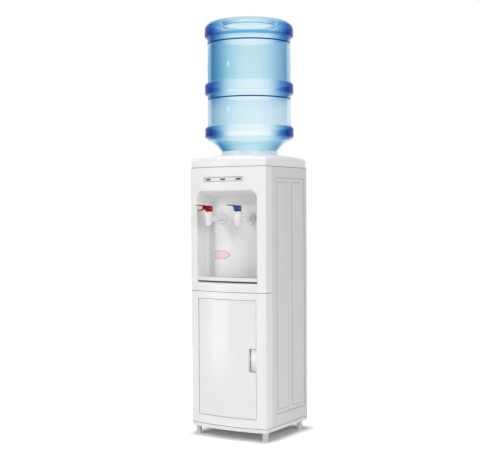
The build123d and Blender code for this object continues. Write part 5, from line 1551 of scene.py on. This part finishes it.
@dataclass
class CaseScrews:
    """Cross-headed screws that hold the back sheet.

    The dome is given as shares of the head's radius and height, from its foot to its crown. Each cross is
    turned by its place, and turns gives the radians per metre of X and of Z.
    """

    sheet_y: float = 0.1485
    columns: Pair = (-0.112, 0.112)
    rows: tuple[float, ...] = (0.07, 0.25, 0.43, 0.61, 0.79)
    radius: float = 0.0036
    height: float = 0.0022
    dome: tuple[Pair, ...] = ((0.0, 0.0), (1.0, 0.0), (1.0, 0.35), (0.86, 0.75), (0.5, 1.0), (0.0, 1.0))
    segments: int = 20
    slot_width: float = 0.0009
    slot_reach: float = 0.0021
    slot_depth: float = 0.0012
    turns: Pair = (3.0, 17.0)

    def _cross(self) -> bpy.types.Mesh:
        """Makes the two crossed blades that cut the head.

        Returns:
            The blades, centred on the crown of the head.
        """
        form = bmesh.new()
        size = Matrix.Diagonal((2 * self.slot_reach, self.slot_width, 2 * self.slot_depth, 1.0))
        for turn in (0.0, math.pi / 2):
            place = Matrix.Translation((0, 0, self.height)) @ Matrix.Rotation(turn, 4, "Z") @ size
            bmesh.ops.create_cube(form, size=1.0, matrix=place)
        return as_mesh("screw_cross", form)

    def head(self) -> bpy.types.Mesh:
        """Turns one domed head and cuts its cross.

        Returns:
            The head, standing along Z on the origin.
        """
        dome: Profile = [(across * self.radius, up * self.height) for across, up in self.dome]
        turned = as_mesh("screw_head", lathe(dome, (0.0, 0.0), self.segments, False))
        blank = bpy.data.objects.new("screw_blank", turned)
        cutter = bpy.data.objects.new("screw_cross", self._cross())
        for thing in (blank, cutter):
            bpy.context.scene.collection.objects.link(thing)
        cut = blank.modifiers.new("cross", "BOOLEAN")
        cut.operation = "DIFFERENCE"
        cut.object = cutter
        cut.use_self = True
        bpy.context.view_layer.update()
        result = bpy.data.meshes.new_from_object(blank.evaluated_get(bpy.context.evaluated_depsgraph_get()))
        for thing in (blank, cutter):
            bpy.data.objects.remove(thing)
        return result

    def build(self) -> bpy.types.Object:
        """Sets a head at each place of the back sheet, each with its cross turned its own way.

        Returns:
            All the screws as one piece.
        """
        head = self.head()
        form = bmesh.new()
        outward = Matrix.Rotation(-math.pi / 2, 4, "X")
        for x in self.columns:
            for z in self.rows:
                start = len(form.verts)
                form.from_mesh(head)
                form.verts.ensure_lookup_table()
                turn = Matrix.Rotation(self.turns[1] * z + self.turns[0] * x, 4, "Z")
                place = Matrix.Translation((x, self.sheet_y, z)) @ outward @ turn
                bmesh.ops.transform(form, matrix=place, verts=form.verts[start:])
        bpy.data.meshes.remove(head)
        return finish_piece(form, "case_screws", Body.CABINET, (Finishes.steel,))


@dataclass
class SubAssembly:
    """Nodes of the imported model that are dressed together."""

    nodes: dict[str, bpy.types.Object]

    def coat(self, finish: Finish, *names: str) -> None:
        """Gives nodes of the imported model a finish.

        Args:
            finish: Finish to give them.
            *names: Node names.
        """
        for name in names:
            mesh = self.nodes[name].data
            if not mesh.materials:
                mesh.materials.append(None)
            for index in range(len(mesh.materials)):
                mesh.materials[index] = finish.material()
            LOG.info("dressed %s in %s", name, finish.name)


@dataclass
class Cabinet(SubAssembly):
    """Shell of the dispenser: mouldings, side panels, back, feet and lid."""

    screws: CaseScrews = field(default_factory=CaseScrews)
    strips: JointShadowStrips = field(default_factory=JointShadowStrips)
    shadow_ring: StripShadowRing = field(default_factory=StripShadowRing)

    def dress(self) -> None:
        """Gives each moulding and sheet its finish."""
        self.coat(Finishes.shell, "upper_front_panel", "lower_front_frame", "top_cover", "base_plate")
        self.coat(Finishes.panel, "side_panel_left", "side_panel_right")
        self.coat(Finishes.back, "back_panel")
        self.coat(Finishes.foot, "feet")
        self.coat(Finishes.collar, "bottle_collar")
        self.coat(Finishes.strip, "indicator_window")
        self.coat(Finishes.lamp, "indicator_lamps")

    def build(self) -> None:
        """Adds the screws of the back sheet, and the dark strips and ring of painted shadow in the joint
        lines and round the indicator strip.
        """
        self.screws.build()
        self.strips.build()
        self.shadow_ring.build()


@dataclass
class Cupboard(SubAssembly):
    """Door, its fittings and the storage space behind it."""

    gap_shadow: DoorGapShadow = field(default_factory=DoorGapShadow)
    scoop: GripScoop = field(default_factory=GripScoop)

    def dress(self) -> None:
        """Gives the door, liner, pins and catch their finishes."""
        self.coat(Finishes.door, "door")
        self.coat(Finishes.liner, "cabinet_liner")
        self.coat(Finishes.steel, "door_hinge_pins", "door_strike")
        self.coat(Finishes.black, "door_catch")

    def build(self) -> None:
        """Adds the grey strip of painted shadow in the door's gap and the scoop behind its notch."""
        self.gap_shadow.build()
        self.scoop.build()


@dataclass
class TapAlcove(SubAssembly):
    """Alcove with its taps, levers, drip tray and sticker."""

    decal: ArrowDecal = field(default_factory=ArrowDecal)
    slot_shadow: TraySlotShadow = field(default_factory=TraySlotShadow)

    def dress(self) -> None:
        """Gives the alcove, the taps and the tray their finishes."""
        self.coat(Finishes.alcove, "tap_alcove")
        self.coat(Finishes.tray, "drip_tray")
        self.coat(Finishes.grille, "drip_grille")
        self.coat(Finishes.tap, "cold_tap_body", "hot_tap_body")
        self.coat(Finishes.cold, "cold_lever")
        self.coat(Finishes.hot, "hot_lever")
        self.coat(Finishes.catch, "hot_safety_catch")
        self.coat(Finishes.steel, "cold_lever_pin", "hot_lever_pin")
        self.coat(Finishes.inner, "cold_tap_stem", "hot_tap_stem", "tap_nuts")
        self.coat(Finishes.silicone, "cold_tap_seal", "hot_tap_seal", "tap_washers")

    def build(self) -> None:
        """Adds the sticker and the dark strip of painted shadow in the tray's finger gap."""
        self.decal.build()
        self.slot_shadow.build()


@dataclass
class WaterWorks(SubAssembly):
    """Tanks, cooling stack, hoses and electrics inside the cabinet."""

    def dress(self) -> None:
        """Gives the inner pieces their finishes."""
        self.coat(Finishes.steel, "cold_tank", "hot_tank", "drain_pipe")
        self.coat(Finishes.zinc, "cold_tank_shelf", "service_deck")
        self.coat(Finishes.aluminium, "cold_block", "heat_sink")
        self.coat(Finishes.foam, "cold_tank_jacket", "hot_tank_jacket")
        self.coat(Finishes.inner, "cold_tank_lid")
        self.coat(Finishes.silicone, "cold_hose", "hot_hose", "feed_hose")
        self.coat(Finishes.ceramic, "cooling_module", "thermostats")
        self.coat(Finishes.heater, "heater_band")
        self.coat(Finishes.board, "indicator_board", "power_board")
        self.coat(Finishes.black, "fan_frame", "fan_rotor", "power_inlet", "switch_housings", "drain_cap")
        self.coat(Finishes.heat_rocker, "heat_switch")
        self.coat(Finishes.cool_rocker, "cool_switch")


@dataclass
class PhotoCamera:
    """Camera at the photograph's viewing angle, with its angles in degrees."""

    azimuth: float = 32.558
    pitch: float = 0.761
    roll: float = -0.326
    place: Point = (1.6900, -2.6673, 0.6863)
    focal_pixels: float = 1021.05
    sensor: float = 36.0
    far_end: float = 200.0

    def build(self) -> None:
        """Places the camera and makes it the scene's own."""
        azimuth, pitch, roll = (math.radians(angle) for angle in (self.azimuth, self.pitch, self.roll))
        level = math.cos(pitch)
        back = Vector((math.sin(azimuth) * level, -math.cos(azimuth) * level, math.sin(pitch)))
        level_right = (-back).cross(Vector((0, 0, 1))).normalized()
        level_up = back.cross(level_right)
        right = math.cos(roll) * level_right + math.sin(roll) * level_up
        up = math.cos(roll) * level_up - math.sin(roll) * level_right
        lens = bpy.data.cameras.new("photo_camera")
        lens.sensor_fit = "HORIZONTAL"
        lens.sensor_width = self.sensor
        lens.lens = self.focal_pixels / IMAGE_WIDTH * self.sensor
        lens.clip_end = self.far_end
        camera = bpy.data.objects.new("photo_camera", lens)
        bpy.context.scene.collection.objects.link(camera)
        axes = Matrix((right, up, back)).transposed().to_4x4()
        camera.matrix_world = Matrix.Translation(self.place) @ axes
        bpy.context.scene.camera = camera


@dataclass(frozen=True)
class Softbox:
    """One rectangular studio lamp that points at the dispenser."""

    name: str
    azimuth: float
    height: float
    distance: float
    width: float
    length: float
    power: float
    aim: float = 0.65

    def build(self) -> None:
        """Hangs the lamp and turns it to its aim."""
        lamp = bpy.data.lights.new(self.name, "AREA")
        lamp.shape = "RECTANGLE"
        lamp.size = self.width
        lamp.size_y = self.length
        lamp.energy = self.power
        thing = bpy.data.objects.new(self.name, lamp)
        thing.visible_transmission = False
        bpy.context.scene.collection.objects.link(thing)
        angle = math.radians(self.azimuth)
        place = Vector((self.distance * math.sin(angle), -self.distance * math.cos(angle), self.height))
        thing.location = place
        thing.rotation_euler = (Vector((0, 0, self.aim)) - place).to_track_quat("-Z", "Y").to_euler()


@dataclass
class Studio:
    """Pale floor, white surroundings and soft lamps.

    The floor keeps the shadow inside the footprint, given by its middle and half sizes, and fades to white
    round it.
    """

    floor_size: float = 60.0
    floor_parts: int = 8
    floor_tone: Colour = (0.92, 0.92, 0.92)
    floor_roughness: float = 0.9
    footprint: tuple[Point, Point] = ((0.0, 0.035, 0.0), (0.125, 0.125, NO_LIMIT))
    fade_width: float = 0.075
    ambient: float = 0.02
    lamps: tuple[Softbox, ...] = (
        Softbox("left_key", -28.0, 2.5, 3.2, 0.5, 0.5, 33.0),
        Softbox("right_softbox", 58.0, 1.5, 3.2, 1.2, 2.0, 50.0),
        Softbox("left_strip", -37.0, 0.5, 1.5, 0.42, 1.0, 3.6, 0.4),
        Softbox("top_softbox", 0.0, 4.2, 0.3, 4.0, 4.0, 122.0, 0.0),
    )

    def build(self) -> None:
        """Lays the floor, sets the surroundings and hangs the lamps."""
        self._floor()
        self._surroundings()
        for lamp in self.lamps:
            lamp.build()

    @staticmethod
    def _seen(sheet: NodeSheet) -> Socket:
        """Adds a switch that is 1 for rays that show the surroundings.

        Args:
            sheet: Sheet to add to.

        Returns:
            Socket of the switch.
        """
        path = sheet.add("ShaderNodeLightPath", (-600, 300)).outputs
        first = sheet.number("MAXIMUM", (-400, 300), path["Is Camera Ray"], path["Is Glossy Ray"])
        return sheet.number("MAXIMUM", (-200, 300), first, path["Is Transmission Ray"])

    def _surroundings(self) -> None:
        """Makes the world white where it is seen and a soft fill elsewhere."""
        world = bpy.data.worlds.new("studio")
        world.use_nodes = True
        sheet = NodeSheet(world.node_tree)
        fill = sheet.add("ShaderNodeBackground", (0, 0))
        sheet.wire(fill, {"Color": rgba(WHITE), "Strength": self.ambient})
        white = sheet.wire(sheet.add("ShaderNodeBackground", (0, -150)), {"Color": rgba(WHITE)})
        seen = self._seen(sheet)
        choice = sheet.choose((250, 0), seen, fill.outputs["Background"], white.outputs["Background"])
        output = sheet.add("ShaderNodeOutputWorld", (450, 0))
        sheet.feed(output.inputs["Surface"], choice)
        bpy.context.scene.world = world

    def _floor_material(self) -> bpy.types.Material:
        """Makes a matt floor that glows white where it is seen outside the footprint.

        Returns:
            The material.
        """
        material = bpy.data.materials.new("studio_floor")
        material.use_nodes = True
        sheet = NodeSheet(material.node_tree)
        shader = sheet.add("ShaderNodeBsdfPrincipled", (0, 0))
        sheet.wire(shader, {"Base Color": rgba(self.floor_tone), "Roughness": self.floor_roughness})
        sheet.wire(shader, {"Specular IOR Level": 0.0})
        beyond = sheet.beyond(*self.footprint, (-1100, -500))
        outside = sheet.vector("MAXIMUM", (-900, -500), beyond, ORIGIN)
        reach = sheet.vector("LENGTH", (-700, -500), outside)
        fade = sheet.spread(reach, (-500, -500), (0.0, self.fade_width), soft=True)
        lift = sheet.number("MULTIPLY", (-200, -450), self._seen(sheet), fade)
        glow = sheet.wire(sheet.add("ShaderNodeEmission", (0, -350)), {"Strength": lift})
        total = sheet.add("ShaderNodeAddShader", (250, 0))
        sheet.fill_in(total, (shader.outputs["BSDF"], glow.outputs["Emission"]))
        output = sheet.add("ShaderNodeOutputMaterial", (450, 0))
        sheet.feed(output.inputs["Surface"], total.outputs["Shader"])
        return material

    def _floor(self) -> None:
        """Lays a wide pale floor that keeps the shadow of the dispenser."""
        form = bmesh.new()
        parts = self.floor_parts
        bmesh.ops.create_grid(form, x_segments=parts, y_segments=parts, size=self.floor_size / 2)
        mesh = as_mesh("studio_floor", form)
        mesh.materials.append(self._floor_material())
        floor = bpy.data.objects.new("studio_floor", mesh)
        bpy.context.scene.collection.objects.link(floor)


def corners(box: Any) -> list[list[float]]:
    """Bounding box as plain lists of numbers."""
    return [[float(value) for value in corner] for corner in box]


def main() -> None:
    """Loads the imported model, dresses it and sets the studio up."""
    logging.basicConfig(level=logging.INFO, format="%(name)s: %(message)s")
    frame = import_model()
    nodes = frame["nodes"]
    outer = (Cabinet(nodes), Cupboard(nodes), TapAlcove(nodes))
    for assembly in (*outer, WaterWorks(nodes)):
        assembly.dress()
    for assembly in outer:
        assembly.build()
    BOTTLE.build()
    Studio().build()
    PhotoCamera().build()
    bpy.context.scene.view_settings.view_transform = "Standard"


if __name__ == "__main__":
    main()
